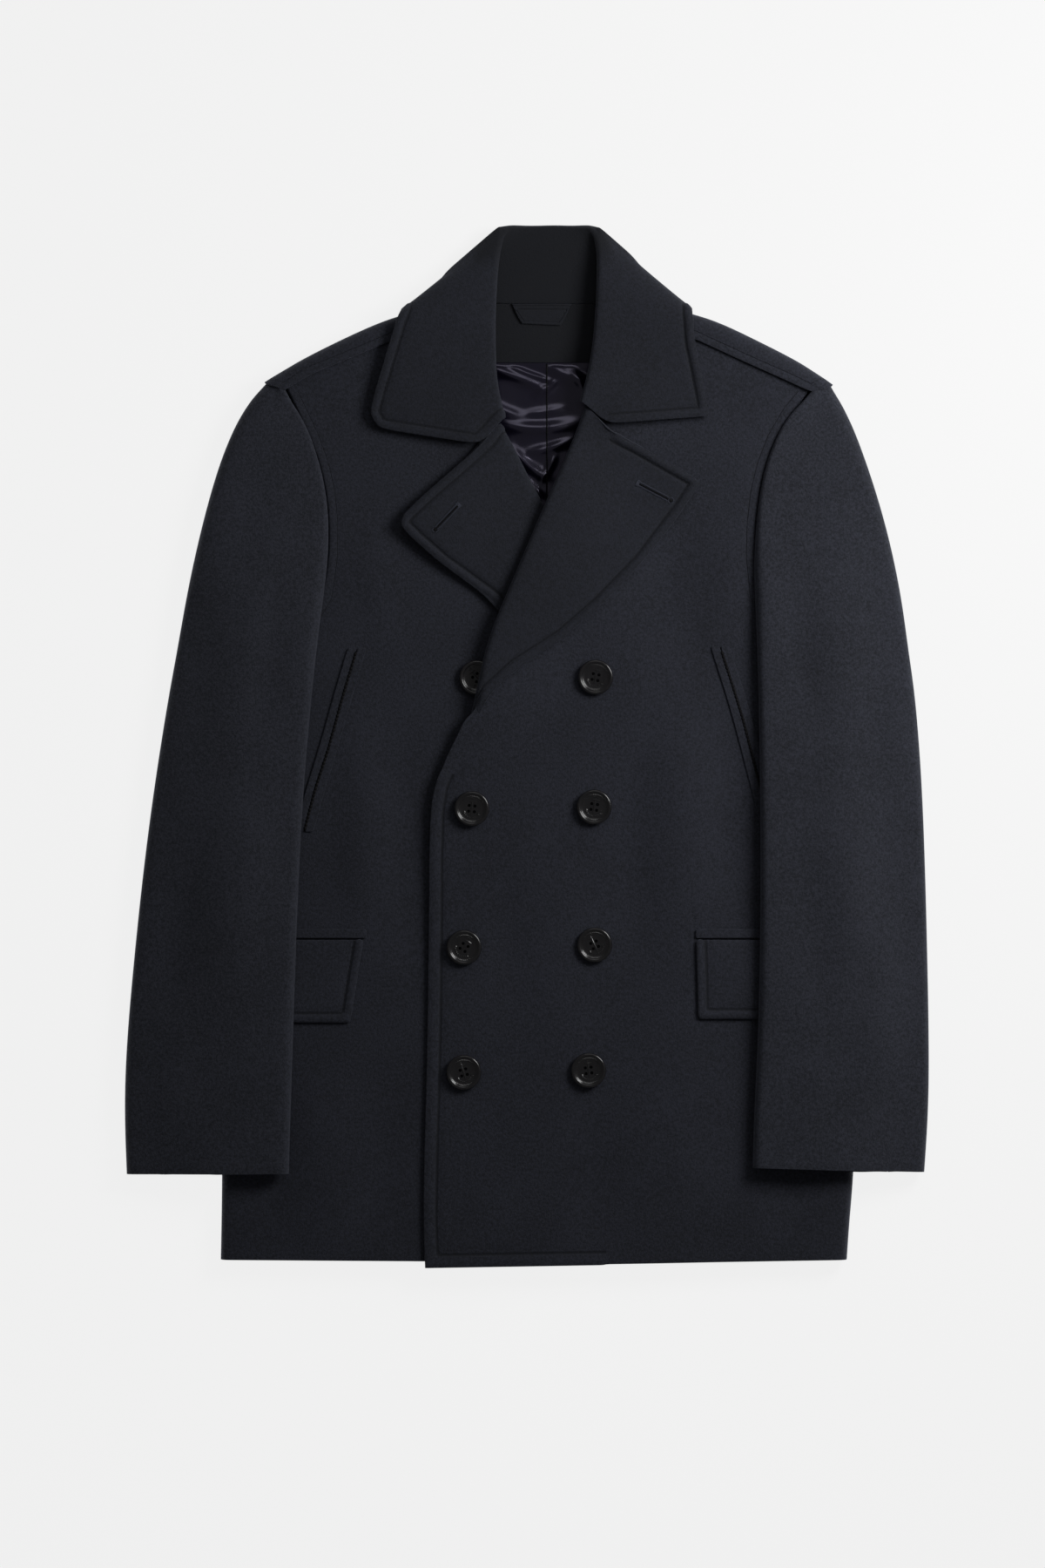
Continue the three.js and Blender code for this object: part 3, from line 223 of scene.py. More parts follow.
def melton(name, dark, light):
    paint = Paint(name, Sheen_Weight=0.14, Sheen_Roughness=0.45, Sheen_Tint=(0.66, 0.71, 0.90, 1.0))
    paint.feed(paint.surface.inputs["Specular Tint"], (0.88, 0.91, 1.0, 1.0))
    flat = paint.place()
    combed = paint.place((1.0, 0.35, 1.0))
    cloud = paint.noise(flat, CLOUD_SIZE, 3.0)
    grain = paint.noise(flat, GRAIN_SIZE, 5.0, 0.75)
    fibre = paint.noise(combed, FIBRE_SIZE, 2.0, 0.7)
    groove = 1 - paint.attribute("seam").math("ABSOLUTE").between(0.15, GROOVE)
    nap = grain * 1.7 + cloud * 0.3 + fibre * 0.6 - 0.8
    black = (*(0.4 * c for c in dark[:3]), 1.0)
    color = paint.mix(nap.between(0.15, 0.85), dark, light)
    # Painted shade along the stitch grooves: the colour is mixed towards a darker blue.
    color = paint.mix(groove * 0.75, color, black)
    # Painted shade inside the neck, as much as the attribute shade says.
    color = paint.mix(paint.attribute("shade") * 0.95, color, black)
    height = grain * 0.55 + fibre * 0.45 - groove * STITCH_PULL
    return paint.finish(color, grain * 0.1 + MATT, height, 0.75)


# The sleeves' copy is lighter, painted light; the collar's copy, also on the facings, the neck facing
# and the loop, is darker, painted shade.
MELTONS = {
    "melton": ((0.0030, 0.0035, 0.0058, 1.0), (0.0200, 0.0215, 0.0320, 1.0)),
    "lit sleeve melton": ((0.0036, 0.0042, 0.0066, 1.0), (0.0255, 0.0272, 0.0385, 1.0)),
    "shaded collar melton": ((0.0019, 0.0023, 0.0040, 1.0), (0.0125, 0.0137, 0.0212, 1.0)),
}
MELTON, LIT_SLEEVE_MELTON, SHADED_COLLAR_MELTON = (melton(name, *colors) for name, colors in MELTONS.items())
print("meltons:", list(MELTONS))

# %% [markdown]
# The lining is a satin: long smooth floats of yarn that mirror the light in one direction, so its
# folds flash pale violet beside nearly black troughs. The buttons are polished horn.

# %% Satin, horn, thread and floor paint


def satin():
    tint = (0.80, 0.76, 1.0, 1.0)
    paint = Paint("satin", Anisotropic=0.4, Specular_IOR_Level=0.85, Specular_Tint=tint)
    floats = paint.noise(paint.place((1.0, 14.0, 1.0)), 0.9, 2.0)
    cloud = paint.noise(paint.place(), 30.0, 2.0)
    color = paint.mix(cloud, (0.0018, 0.0014, 0.0045, 1.0), (0.0040, 0.0031, 0.0090, 1.0))
    return paint.finish(color, floats * 0.08 + 0.17, floats * 0.03, 0.5)


def horn():
    paint = Paint("horn", Coat_Weight=0.35, Coat_Roughness=0.06, Specular_IOR_Level=0.3)
    streak = paint.noise(paint.place((1.0, 0.25, 1.0)), 3.0, 3.0)
    scuff = paint.noise(paint.place(), 0.6, 4.0, 0.7)
    color = paint.mix(streak, (0.004, 0.004, 0.005, 1.0), (0.013, 0.012, 0.013, 1.0))
    return paint.finish(color, scuff * 0.16 + 0.17, scuff * 0.02, 0.6)


def thread(name, dark, light):
    paint = Paint(name, Specular_IOR_Level=0.15)
    twist = paint.noise(paint.place(), 0.5, 2.0)
    color = paint.mix(twist, dark, light)
    return paint.finish(color, twist * 0.2 + 0.6, twist * 0.05)


def pale_floor():
    paint = Paint("pale floor", Emission_Color=(1.0, 1.0, 1.0, 1.0), Emission_Strength=0.845)
    dust = paint.noise(paint.place(), 400.0, 2.0)
    color = paint.mix(dust, (0.055, 0.055, 0.055, 1.0), (0.06, 0.06, 0.06, 1.0))
    return paint.finish(color, dust * 0.05 + 0.75, dust * 0.02)


SATIN = satin()
HORN = horn()
THREAD = thread("thread", (0.0040, 0.0046, 0.0075, 1.0), (0.013, 0.0145, 0.0220, 1.0))
BRIGHT_THREAD = thread("buttonhole thread", (0.022, 0.024, 0.034, 1.0), (0.055, 0.060, 0.080, 1.0))
# Spindles of this dark material also stand in the welts' slits, the buttonholes' slits and the eyelets'
# wells as painted shade.
DARK_THREAD_AND_SHADE = thread("dark thread and painted shade", (0.0015, 0.0015, 0.002, 1.0), (0.004, 0.004, 0.005, 1.0))
FLOOR = pale_floor()
print("materials:", len(bpy.data.materials))

# %% [markdown]
# The floor is one large flat sheet. It is stage, so it is no piece of the coat.

# %% Floor
FLOOR_SIZE = 8.0
FLOOR_DROP = 0.4 * MM


def new_object(name, mesh, material):
    made = bpy.data.objects.new(name, mesh)
    made.data.materials.clear()
    made.data.materials.append(material)
    bpy.context.collection.objects.link(made)
    return made


ground = bmesh.new()
bmesh.ops.create_grid(ground, x_segments=4, y_segments=4, size=FLOOR_SIZE / 2)
bmesh.ops.translate(ground, verts=ground.verts, vec=(0, 0, -FLOOR_DROP))
floor_mesh = bpy.data.meshes.new("floor")
ground.to_mesh(floor_mesh)
ground.free()
new_object("floor", floor_mesh, FLOOR)
print("floor:", FLOOR_SIZE, "m wide")

# %% [markdown]
# A maker's panel is soft and round at its edges. A copy of each wall is merged and its triangles
# are paired, its rim is creased so that it keeps its outline, and subdivision smooths the rest. A
# fine bevel then rounds the rim. Working from the wall keeps every seam where it is.

# %% Cloth shells from the walls
RIM_ANGLE = math.radians(62)
MERGE_DISTANCE = 0.01 * MM
PAIR_FLATNESS = math.radians(80)
PAIR_SHAPE = math.radians(170)
EDGE_ROUND = 1.0 * MM
EDGE_ROUND_STEPS = 3
EDGE_ANGLE = math.radians(50)


def merged_copy(node):
    made = bmesh.new()
    made.from_mesh(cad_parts[node].data)
    bmesh.ops.remove_doubles(made, verts=made.verts, dist=MERGE_DISTANCE)
    bmesh.ops.join_triangles(
        made, faces=made.faces, angle_face_threshold=PAIR_FLATNESS, angle_shape_threshold=PAIR_SHAPE
    )
    return made


def sharp_edges(made):
    return [e for e in made.edges if len(e.link_faces) == 2 and e.calc_face_angle() > RIM_ANGLE]


def shell(node, levels, material, rim=1.0, kind="CATMULL_CLARK"):
    """The node's wall as a smooth shell that stands for it. A lower rim rounds its edges more."""
    made = merged_copy(node)
    crease = made.edges.layers.float.new("crease_edge")
    for edge in sharp_edges(made):
        edge[crease] = rim
    mesh = bpy.data.meshes.new(node + "_cloth")
    made.to_mesh(mesh)
    made.free()
    cloth = new_object(node + "_cloth", mesh, material)
    smooth = cloth.modifiers.new("smooth", "SUBSURF")
    smooth.subdivision_type = kind
    smooth.levels = levels
    smooth.render_levels = levels
    rounded = cloth.modifiers.new("rounded rim", "BEVEL")
    rounded.width = EDGE_ROUND
    rounded.segments = EDGE_ROUND_STEPS
    rounded.limit_method = "ANGLE"
    rounded.angle_limit = EDGE_ANGLE
    ready = cloth.evaluated_get(bpy.context.evaluated_depsgraph_get())
    cloth.data = bpy.data.meshes.new_from_object(ready)
    cloth.modifiers.clear()
    cloth.data.shade_smooth()
    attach(cloth, "root")
    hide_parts(node)
    return cloth


def points_of(cloth):
    """The shell's points in millimetres, one row each."""
    flat = np.empty(len(cloth.data.vertices) * 3)
    cloth.data.vertices.foreach_get("co", flat)
    return flat.reshape(-1, 3) / MM


def move_points(cloth, points):
    cloth.data.vertices.foreach_set("co", (points * MM).ravel())
    cloth.data.update()


def normals_of(cloth):
    flat = np.empty(len(cloth.data.vertices) * 3)
    cloth.data.vertices.foreach_get("normal", flat)
    return flat.reshape(-1, 3)


def write_attribute(cloth, name, values):
    """Says one number about each point of the shell, for the melton to read."""
    layer = cloth.data.attributes.new(name, "FLOAT", "POINT")
    layer.data.foreach_set("value", values)


print("shells are made from", len(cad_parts), "walls")


# %% [markdown]
# Folds are placed one by one. Each row of a table is one soft ridge, or a trough where its height is
# negative, along a line from start to end that bows sideways. It fades out at both ends. Whatever
# lies on a panel is lifted by the same folds, so the layers keep their gaps.

# %% Folds


def soften(share):
    share = np.clip(share, 0, 1)
    return share * share * (3 - 2 * share)


FADE = 0.4
FOLD_GAIN = 1.35


def fold_height(x, y, fold):
    start = np.array(fold["start"], float)
    run = np.array(fold["end"], float) - start
    length = np.hypot(*run)
    along = ((x - start[0]) * run[0] + (y - start[1]) * run[1]) / length**2
    across = ((x - start[0]) * run[1] - (y - start[1]) * run[0]) / length
    across = across - fold["bow"] * 4 * along * (1 - along)
    fade = soften(along / FADE) * soften((1 - along) / FADE)
    return fold["height"] * np.exp(-((across / fold["width"]) ** 2)) * fade


def total_height(x, y, folds):
    return sum(fold_height(x, y, fold) for fold in folds)


BODY_FOLDS = [
    {"start": (128, 95), "end": (126, -215), "width": 24, "height": 2.4, "bow": -5},
    {"start": (168, 60), "end": (178, -200), "width": 16, "height": -1.6, "bow": 4},
    {"start": (86, 40), "end": (96, -230), "width": 20, "height": -1.2, "bow": 3},
    {"start": (20, -60), "end": (30, -330), "width": 26, "height": 1.3, "bow": -6},
    {"start": (-18, -90), "end": (-8, -250), "width": 18, "height": -1.0, "bow": 4},
    {"start": (150, -190), "end": (120, -430), "width": 30, "height": 1.6, "bow": 8},
    {"start": (208, -240), "end": (222, -440), "width": 22, "height": -1.4, "bow": -3},
    {"start": (60, -260), "end": (48, -440), "width": 26, "height": -1.2, "bow": 4},
    {"start": (-135, 60), "end": (-128, -200), "width": 20, "height": 2.2, "bow": 4},
    {"start": (-102, 20), "end": (-96, -240), "width": 16, "height": -1.2, "bow": -3},
    {"start": (-170, -230), "end": (-160, -440), "width": 26, "height": 1.6, "bow": 5},
    {"start": (-118, -250), "end": (-128, -440), "width": 22, "height": -1.2, "bow": -4},
    {"start": (-196, -260), "end": (-214, -440), "width": 20, "height": -1.2, "bow": 3},
    {"start": (150, 215), "end": (108, 100), "width": 20, "height": -1.4, "bow": 6},
    {"start": (172, 190), "end": (150, 60), "width": 18, "height": 1.2, "bow": -5},
    {"start": (-128, 215), "end": (-112, 60), "width": 20, "height": 1.3, "bow": 5},
]
RIGHT_SLEEVE_FOLDS = [
    {"start": (-236, 240), "end": (-262, 60), "width": 20, "height": 1.8, "bow": 6},
    {"start": (-205, 170), "end": (-228, -20), "width": 16, "height": -1.6, "bow": -5},
    {"start": (-278, 90), "end": (-284, -90), "width": 18, "height": 1.4, "bow": 4},
    {"start": (-232, -10), "end": (-248, -220), "width": 22, "height": 2.0, "bow": -6},
    {"start": (-268, -60), "end": (-292, -250), "width": 18, "height": -1.6, "bow": 5},
    {"start": (-240, -190), "end": (-256, -370), "width": 24, "height": -1.5, "bow": 4},
    {"start": (-300, -180), "end": (-296, -365), "width": 18, "height": 1.4, "bow": -3},
]
LEFT_SLEEVE_FOLDS = [
    {"start": (252, 240), "end": (276, 60), "width": 20, "height": 1.8, "bow": -6},
    {"start": (222, 180), "end": (240, -10), "width": 16, "height": -1.7, "bow": 4},
    {"start": (298, 100), "end": (308, -80), "width": 16, "height": 1.3, "bow": -3},
    {"start": (262, 10), "end": (272, -200), "width": 24, "height": 2.0, "bow": 5},
    {"start": (232, -70), "end": (240, -260), "width": 16, "height": -1.4, "bow": -4},
    {"start": (300, -120), "end": (296, -300), "width": 18, "height": 1.5, "bow": 4},
    {"start": (262, -210), "end": (256, -370), "width": 22, "height": -1.6, "bow": -4},
]
BACK_FOLDS = [
    {"start": (-110, 180), "end": (-126, -140), "width": 24, "height": 1.3, "bow": 6},
    {"start": (20, 150), "end": (16, -380), "width": 20, "height": 1.0, "bow": 3},
    {"start": (140, 190), "end": (150, -120), "width": 24, "height": 1.2, "bow": -6},
]


def sleeve_share(points):
    """Only the upper side of a sleeve folds. Below it lies flat on the floor."""
    return soften((points[:, 2] - 11) / 8)


def floor_share(points):
    """The side that lies on the floor can only rise from it."""
    return soften((6 - points[:, 2]) / 3)


def press(cloth, folds, share=None):
    points = points_of(cloth)
    lift = FOLD_GAIN * total_height(points[:, 0], points[:, 1], folds)
    if share is floor_share:
        lift = np.abs(lift)
    points[:, 2] += lift * (1 if share is None else share(points))
    move_points(cloth, points)


print("folds:", sum(map(len, (BODY_FOLDS, RIGHT_SLEEVE_FOLDS, LEFT_SLEEVE_FOLDS, BACK_FOLDS))))

# %% [markdown]
# The panels come first: fronts, back and sleeves. The shell of each is smoothed, then pressed by
# its own folds. The back lies under everything, so it gets fewer points. The lips of the welts are
# squashed first, because a pocket's lips are pressed flat.

# %% Panels of the body and sleeves
COARSE, FINE, FINEST = 2, 3, 5
SMALL_PIECES = {"welt_front": 0.4, "welt_back": 0.4, "flap": 0.9, "jet": 0.6}
LIP_BASE = 16.3
LIP_SQUASH = 0.4

cloths = {}
for node in ("front_left", "front_right"):
    cloths[node] = shell(node, FINE, MELTON)
    press(cloths[node], BODY_FOLDS)
cloths["back"] = shell("back", COARSE, MELTON)
press(cloths["back"], BACK_FOLDS, floor_share)
for side, folds in (("right", RIGHT_SLEEVE_FOLDS), ("left", LEFT_SLEEVE_FOLDS)):
    cloths["sleeve_top_" + side] = shell("sleeve_top_" + side, FINE, LIT_SLEEVE_MELTON)
    press(cloths["sleeve_top_" + side], folds, sleeve_share)
    cloths["sleeve_under_" + side] = shell("sleeve_under_" + side, COARSE, LIT_SLEEVE_MELTON)
    press(cloths["sleeve_under_" + side], folds, floor_share)
for node in ("facing_left", "facing_right"):
    cloths[node] = shell(node, FINE, SHADED_COLLAR_MELTON)
    press(cloths[node], BODY_FOLDS)
cloths["collar"] = shell("collar", FINE, SHADED_COLLAR_MELTON)
cloths["facing_neck"] = shell("facing_neck", FINE, SHADED_COLLAR_MELTON)
cloths["hanger_loop"] = shell("hanger_loop", FINE, SHADED_COLLAR_MELTON, kind="SIMPLE")
for piece, rim in SMALL_PIECES.items():
    for side in ("right", "left"):
        node = f"{piece}_{side}"
        cloths[node] = shell(node, FINE, MELTON, rim)
        if piece.startswith("welt"):
            points = points_of(cloths[node])
            points[:, 2] -= LIP_SQUASH * (points[:, 2] - LIP_BASE)
            move_points(cloths[node], points)
        press(cloths[node], BODY_FOLDS)
for node in ("lining_right", "lining_left"):
    cloths[node] = shell(node, FINEST, SATIN)
for node, cloth in cloths.items():
    print(node, len(cloth.data.polygons), "faces")

# %% [markdown]
# Some places are eased in by hand on the real coat, such as the shoulder tip, where the lapped
# shoulder ends over the head of the sleeve. Each row here moves the cloth round one place, fully at
# its middle and less and less out to its reach. The top edges of the neck facing and the loop are
# drawn up under the collar.

# %% Places eased in by hand
TUCKED = {"from": 352, "over": 10, "by": 3.4}
EASED = [
    {"node": "back", "place": (-212, 301, 14), "reach": 20, "shift": (-4.4, -1.8, 1.2)},
    {"node": "back", "place": (249, 299, 14), "reach": 20, "shift": (4.0, -1.8, 1.2)},
    {"node": "sleeve_top_right", "place": (-207, 297, 12), "reach": 24, "shift": (2.2, 1.0, -0.8)},
    {"node": "sleeve_top_left", "place": (244, 295, 12), "reach": 24, "shift": (-2.2, 1.0, -0.8)},
    {"node": "sleeve_top_right", "place": (-196, 262, 20), "reach": 34, "shift": (1.1, 0.2, -0.6)},
    {"node": "sleeve_top_left", "place": (232, 262, 20), "reach": 34, "shift": (-1.1, 0.2, -0.6)},
    {"node": "facing_left", "place": (-45, 22, 29), "reach": 26, "shift": (0.6, -3.0, -5.5)},
    {"node": "front_left", "place": (-49, 22, 26), "reach": 20, "shift": (-0.8, 1.6, 0.3)},
    {"node": "collar", "place": (58, 274, 25), "reach": 26, "shift": (0.2, -0.4, -2.2)},
    {"node": "facing_left", "place": (56, 269, 23), "reach": 26, "shift": (0.0, 0.8, 1.5)},
    {"node": "collar", "place": (-30, 260, 25), "reach": 22, "shift": (0.0, -0.4, -1.6)},
    {"node": "facing_right", "place": (-29, 256, 22), "reach": 22, "shift": (0.0, 0.8, 1.0)},
]


def ease(cloth, place, reach, shift):
    points = points_of(cloth)
    share = soften(1 - np.linalg.norm(points - np.array(place), axis=1) / reach)
    move_points(cloth, points + share[:, None] * np.array(shift))


for row in EASED:
    ease(cloths[row["node"]], row["place"], row["reach"], row["shift"])
for node in ("facing_neck", "hanger_loop"):
    points = points_of(cloths[node])
    points[:, 1] += TUCKED["by"] * soften((points[:, 1] - TUCKED["from"]) / TUCKED["over"])
    move_points(cloths[node], points)
print("eased places:", len(EASED))

# %% [markdown]
# A lining is cut a little too wide, so that it never pulls on the wool, and the spare satin lies in
# loose cross folds. They are placed one by one, steep enough to tip the satin towards the light.

# %% Satin folds
SATIN_FOLDS = [
    {"start": (-44, 316), "end": (24, 292), "width": 4.2, "height": 3.4, "bow": -2},
    {"start": (2, 288), "end": (30, 308), "width": 3.4, "height": 2.4, "bow": 2},
    {"start": (-22, 319), "end": (30, 300), "width": 2.6, "height": 2.0, "bow": 2},
    {"start": (12, 319), "end": (66, 298), "width": 5.5, "height": 3.8, "bow": 4},
    {"start": (32, 319), "end": (50, 282), "width": 4.0, "height": 2.2, "bow": -3},
    {"start": (-40, 290), "end": (6, 270), "width": 4.4, "height": 2.6, "bow": 3},
    {"start": (-8, 274), "end": (38, 281), "width": 3.6, "height": 1.8, "bow": 1},
    {"start": (-38, 272), "end": (52, 270), "width": 5.6, "height": 4.4, "bow": 8},
    {"start": (-8, 242), "end": (44, 257), "width": 3.8, "height": 2.8, "bow": 3},
    {"start": (-18, 254), "end": (24, 218), "width": 4.0, "height": 3.4, "bow": 4},
    {"start": (8, 214), "end": (26, 246), "width": 3.2, "height": 2.2, "bow": 1},
    {"start": (-6, 228), "end": (18, 204), "width": 3.2, "height": 2.4, "bow": 2},
    {"start": (-20, 236), "end": (8, 200), "width": 3.4, "height": -1.6, "bow": 2},
]
CENTRE_SEAM = 16.6
SEAM_HOLD = 0.15
SEAM_REACH = 3.0
LINING_TOP = 316.5
TOP_FADE = 4

for node in ("lining_right", "lining_left"):
    points = points_of(cloths[node])
    lift = total_height(points[:, 0], points[:, 1], SATIN_FOLDS)
    held = 1 - SEAM_HOLD * np.exp(-(((points[:, 0] - CENTRE_SEAM) / SEAM_REACH) ** 2))
    top_edge = soften((LINING_TOP - points[:, 1]) / TOP_FADE)
    points[:, 2] += lift * held * top_edge
    move_points(cloths[node], points)
print("satin folds:", len(SATIN_FOLDS))

# %% [markdown]
# Rows of stitches run at a fixed distance inside the sewn edges. A wall's rim is walked from corner
# to corner, which gives each edge as a run of points. The way into the cloth is the side where a
# probe finds the wall nearer. The rows are set in that way, so they stay parallel to their edges.

# %% Rims of the walls
THICKNESS = {"facing_left": 3.0, "facing_right": 3.0, "collar": 3.6}
USUAL_THICKNESS = 2.4
SAME_LENGTH = 0.002
STEP = 1.0 * MM
UP = Vector((0, 0, 1))
PROBE = 4 * MM
VOTERS = 15


def rim_runs(node):
    """The rim of a wall on both of its sides, as runs of points from corner to corner."""
    made = merged_copy(node)
    thick = THICKNESS.get(node, USUAL_THICKNESS) * MM
    across = {e for e in made.edges if abs(e.calc_length() - thick) < SAME_LENGTH * thick}
    along = [e for e in sharp_edges(made) if e not in across]
    corners = {v for e in across if e.calc_face_angle(0) > RIM_ANGLE for v in e.verts}
    links = {}
    for edge in along:
        for v in edge.verts:
            links.setdefault(v, []).append(edge)
    ends = [v for v in links if v in corners or len(links[v]) != 2]
    used = set()
    runs = []
    for start in ends:
        for edge in links[start]:
            if edge in used:
                continue
            run = [start]
            while edge is not None:
                used.add(edge)
                run.append(edge.other_vert(run[-1]))
                onward = [e for e in links[run[-1]] if e not in used]
                edge = onward[0] if onward and run[-1] not in corners else None
            runs.append([v.co.copy() for v in run])
    made.free()
    return runs


def run_near(runs, place):
    """The run that passes nearest a place in millimetres."""
    place = Vector(place) * MM
    return min(runs, key=lambda run: min(
        (place - a.lerp(b, t)).length for a, b in zip(run, run[1:]) for t in (0, 0.5, 1)))


def resampled(run, box):
    """Points a step apart with the way ahead, where the run lies inside a box (x, y, x, y)."""
    points = []
    for a, b in zip(run, run[1:]):
        count = max(1, round((b - a).length / STEP))
        for k in range(count):
            p = a.lerp(b, k / count)
            if box[0] * MM <= p.x <= box[2] * MM and box[1] * MM <= p.y <= box[3] * MM:
                points.append((p, (b - a).normalized()))
    return points


def with_way_in(line, wall):
    """Adds the way into the cloth, the side where the wall is nearer, as the points around agree."""
    sides = [ahead.cross(UP).normalized() for _, ahead in line]
    nearer = [
        wall.find_nearest(p - side * PROBE)[3] - wall.find_nearest(p + side * PROBE)[3]
        for (p, _), side in zip(line, sides)
    ]
    ways_in = np.sign(np.convolve(nearer, np.ones(VOTERS), "same"))
    return [(p, side * float(way), ahead) for (p, ahead), side, way in zip(line, sides, ways_in)]


# %% [markdown]
# Each row of this table is one line of machine stitches: the piece, how far it is set in from the
# edge, how hard the thread pulls, where that is not fully, and a place on each edge that it follows,
# with the box of the coat (x, y, x, y) that it stays in.

# %% Stitched edges
ALL = (-500, -500, 500, 500)
SEWING = [
    {"node": "front_left", "inset": 10.0, "edges": [
        ((-81, -200, 17), (-500, -500, 500, -24)), ((-20, -430, 17), (-500, -500, 62, 500))]},
    {"node": "front_left", "inset": 8.0, "pull": 0.3, "edges": [((189, 160, 16), (-500, 88, 500, 285))]},
    {"node": "front_right", "inset": 8.0, "pull": 0.2, "edges": [
        ((-164, 160, 16), (-500, 88, 500, 285))]},
    {"node": "facing_left", "inset": 7.5, "edges": [
        ((96, 152, 33), (-500, 38, 500, 221)), ((117, 234, 33), (76, 220, 500, 500))]},
    {"node": "facing_right", "inset": 7.5, "edges": [((-50, 136, 27), ALL), ((-82, 209, 27), ALL)]},
    {"node": "collar", "inset": 7.5, "edges": [
        ((-122, 300, 26), ALL), ((-80, 255, 25), ALL),
        ((145, 310, 26), ALL), ((110, 268, 25), (72, -500, 500, 500))]},
    {"node": "back", "inset": 6.0, "pull": 0.3, "edges": [((-118, 332, 21), (-500, 280, 500, 500))]},
    {"node": "back", "inset": 6.0, "pull": 0.3, "edges": [((156, 328, 21), (-500, 280, 500, 500))]},
    {"node": "flap_right", "inset": 7.5, "edges": [((-141, -195, 18), ALL), ((-190, -229, 18), ALL)]},
    {"node": "flap_left", "inset": 7.5, "edges": [((142, -195, 18), ALL), ((200, -226, 18), ALL)]},
    {"node": "hanger_loop", "inset": 2.2, "pull": 0.3, "edges": [((12, 348.5, 11), ALL)]},
]


def surface_of(cloth):
    return BVHTree.FromObject(cloth, bpy.context.evaluated_depsgraph_get())


def wall_of(node):
    """The wall that was packed, for rays and probes."""
    made = merged_copy(node)
    wall = BVHTree.FromBMesh(made)
    made.free()
    return wall


def sewn_edges(row):
    """The edges that a row of stitches follows, as one list of points for each."""
    runs = rim_runs(row["node"])
    wall = wall_of(row["node"])
    chosen = []
    for near, box in row["edges"]:
        run = run_near(runs, near)
        if (run, box) not in chosen:
            chosen.append((run, box))
    return [with_way_in(resampled(run, box), wall) for run, box in chosen]


print("rows of stitches:", len(SEWING))

# %% [markdown]
# Thread draws the two layers of an edge together. The cloth sinks along the row, and swells up between
# the row and the edge. Each row also fades out over the last few millimetres past its ends.

# %% Seam attribute and edge swell
FAR = 60.0
SWELL = 1.15
SINK = 0.9
SINK_WIDTH = 2.2
FULL_INSET = 6
ENDS = 6.0
FACES_UP = 0.25


def ways(run):
    """Which way leads out of a run at each of its points: back at the first, on at the last."""
    return [-1] + [0] * (len(run) - 2) + [1]


def edge_points(row):
    """The points of a row's edges in millimetres, each with the way out past the end, if it is one."""
    return [
        (p / MM, ahead * way)
        for run in sewn_edges(row) for way, (p, _, ahead) in zip(ways(run), run)
    ]


def tree_of(places):
    tree = KDTree(len(places))
    for k, place in enumerate(places):
        tree.insert(place, k)
    tree.balance()
    return tree


def sew(cloth, rows):
    """Writes the seam attribute and swells the cloth between each row and its edge."""
    points = points_of(cloth)
    normals = normals_of(cloth)
    seam = np.full(len(points), FAR)
    shift = np.zeros(len(points))
    for row in rows:
        inset, pull = row["inset"], row.get("pull", 1.0)
        depth = SINK * min(1, inset / FULL_INSET)
        edge = edge_points(row)
        tree = tree_of([p for p, _ in edge])
        places = np.array([p for p, _ in edge])
        reach = 3 * inset
        near = np.all((points > places.min(0) - reach) & (points < places.max(0) + reach), axis=1)
        for v in np.flatnonzero(near):
            p, k, distance = tree.find(points[v])
            past = max(0.0, (Vector(points[v]) - p).dot(edge[k][1]))
            away = math.sqrt(max(distance**2 - past**2, 0.0)) - inset
            if past < ENDS and abs(away / pull) < abs(seam[v]):
                seam[v] = away / pull
            between = min(max(-away / inset, 0.0), 1.0)
            sunk = depth * math.exp(-((away / SINK_WIDTH) ** 2))
            rise = (SWELL * math.sin(math.pi * between) - sunk) * pull * float(soften(1 - past / ENDS))
            if abs(rise) > abs(shift[v]):
                shift[v] = rise
    points += normals * (shift * (normals[:, 2] > FACES_UP))[:, None]
    move_points(cloth, points)
    write_attribute(cloth, "seam", seam)
    return np.count_nonzero(shift)


for node, cloth in cloths.items():
    if cloth.data.materials[0] != SATIN:
        moved = sew(cloth, [row for row in SEWING if row["node"] == node])
        print(node, "points moved by thread:", moved)

# %% [markdown]
# The stand of the collar and the facing of the neck lie deep inside the coat, where shade falls.
# That shade is painted: the attribute shade tells the melton how much darker each point is.

# %% Painted shade inside the neck
NECK = {"collar": 0.9, "facing_neck": 1.0, "hanger_loop": 0.6}
NECK_MIDDLE = 13
NECK_HALF_WIDTH = 60
NECK_START = 300
NECK_TOP = 24
NECK_FADES = {"upward": 0.4, "beside": 8, "behind": 10, "below": 6}

for node, strength in NECK.items():
    x, y, z = points_of(cloths[node]).T
    upward = soften(normals_of(cloths[node])[:, 2] / NECK_FADES["upward"])
    beside = soften((NECK_HALF_WIDTH - np.abs(x - NECK_MIDDLE)) / NECK_FADES["beside"])
    behind = soften((y - NECK_START) / NECK_FADES["behind"])
    below = soften((NECK_TOP - z) / NECK_FADES["below"])
    write_attribute(cloths[node], "shade", strength * beside * behind * below * upward)
    print(node, "is darker by up to", strength)

# %% [markdown]
# A machine stitch on melton is a short bar of thread, pulled down until the nap almost closes over
# it. Every bar is one thin spindle between the points of the cloth that are nearest to its ends.

# %% Machine stitches
STITCH_PITCH = 3.3
STITCH_LENGTH = 2.5
STITCH_RADIUS = 0.27
SHORTEST = 0.7 * STITCH_LENGTH
JUMP = 4
CLEAR = 0.5
ABOVE_ALL = 0.2
SPINDLE_SIDES = 6
SPINDLE_RINGS = 4
SPINDLE_POINTS = SPINDLE_SIDES * (SPINDLE_RINGS - 1) + 2


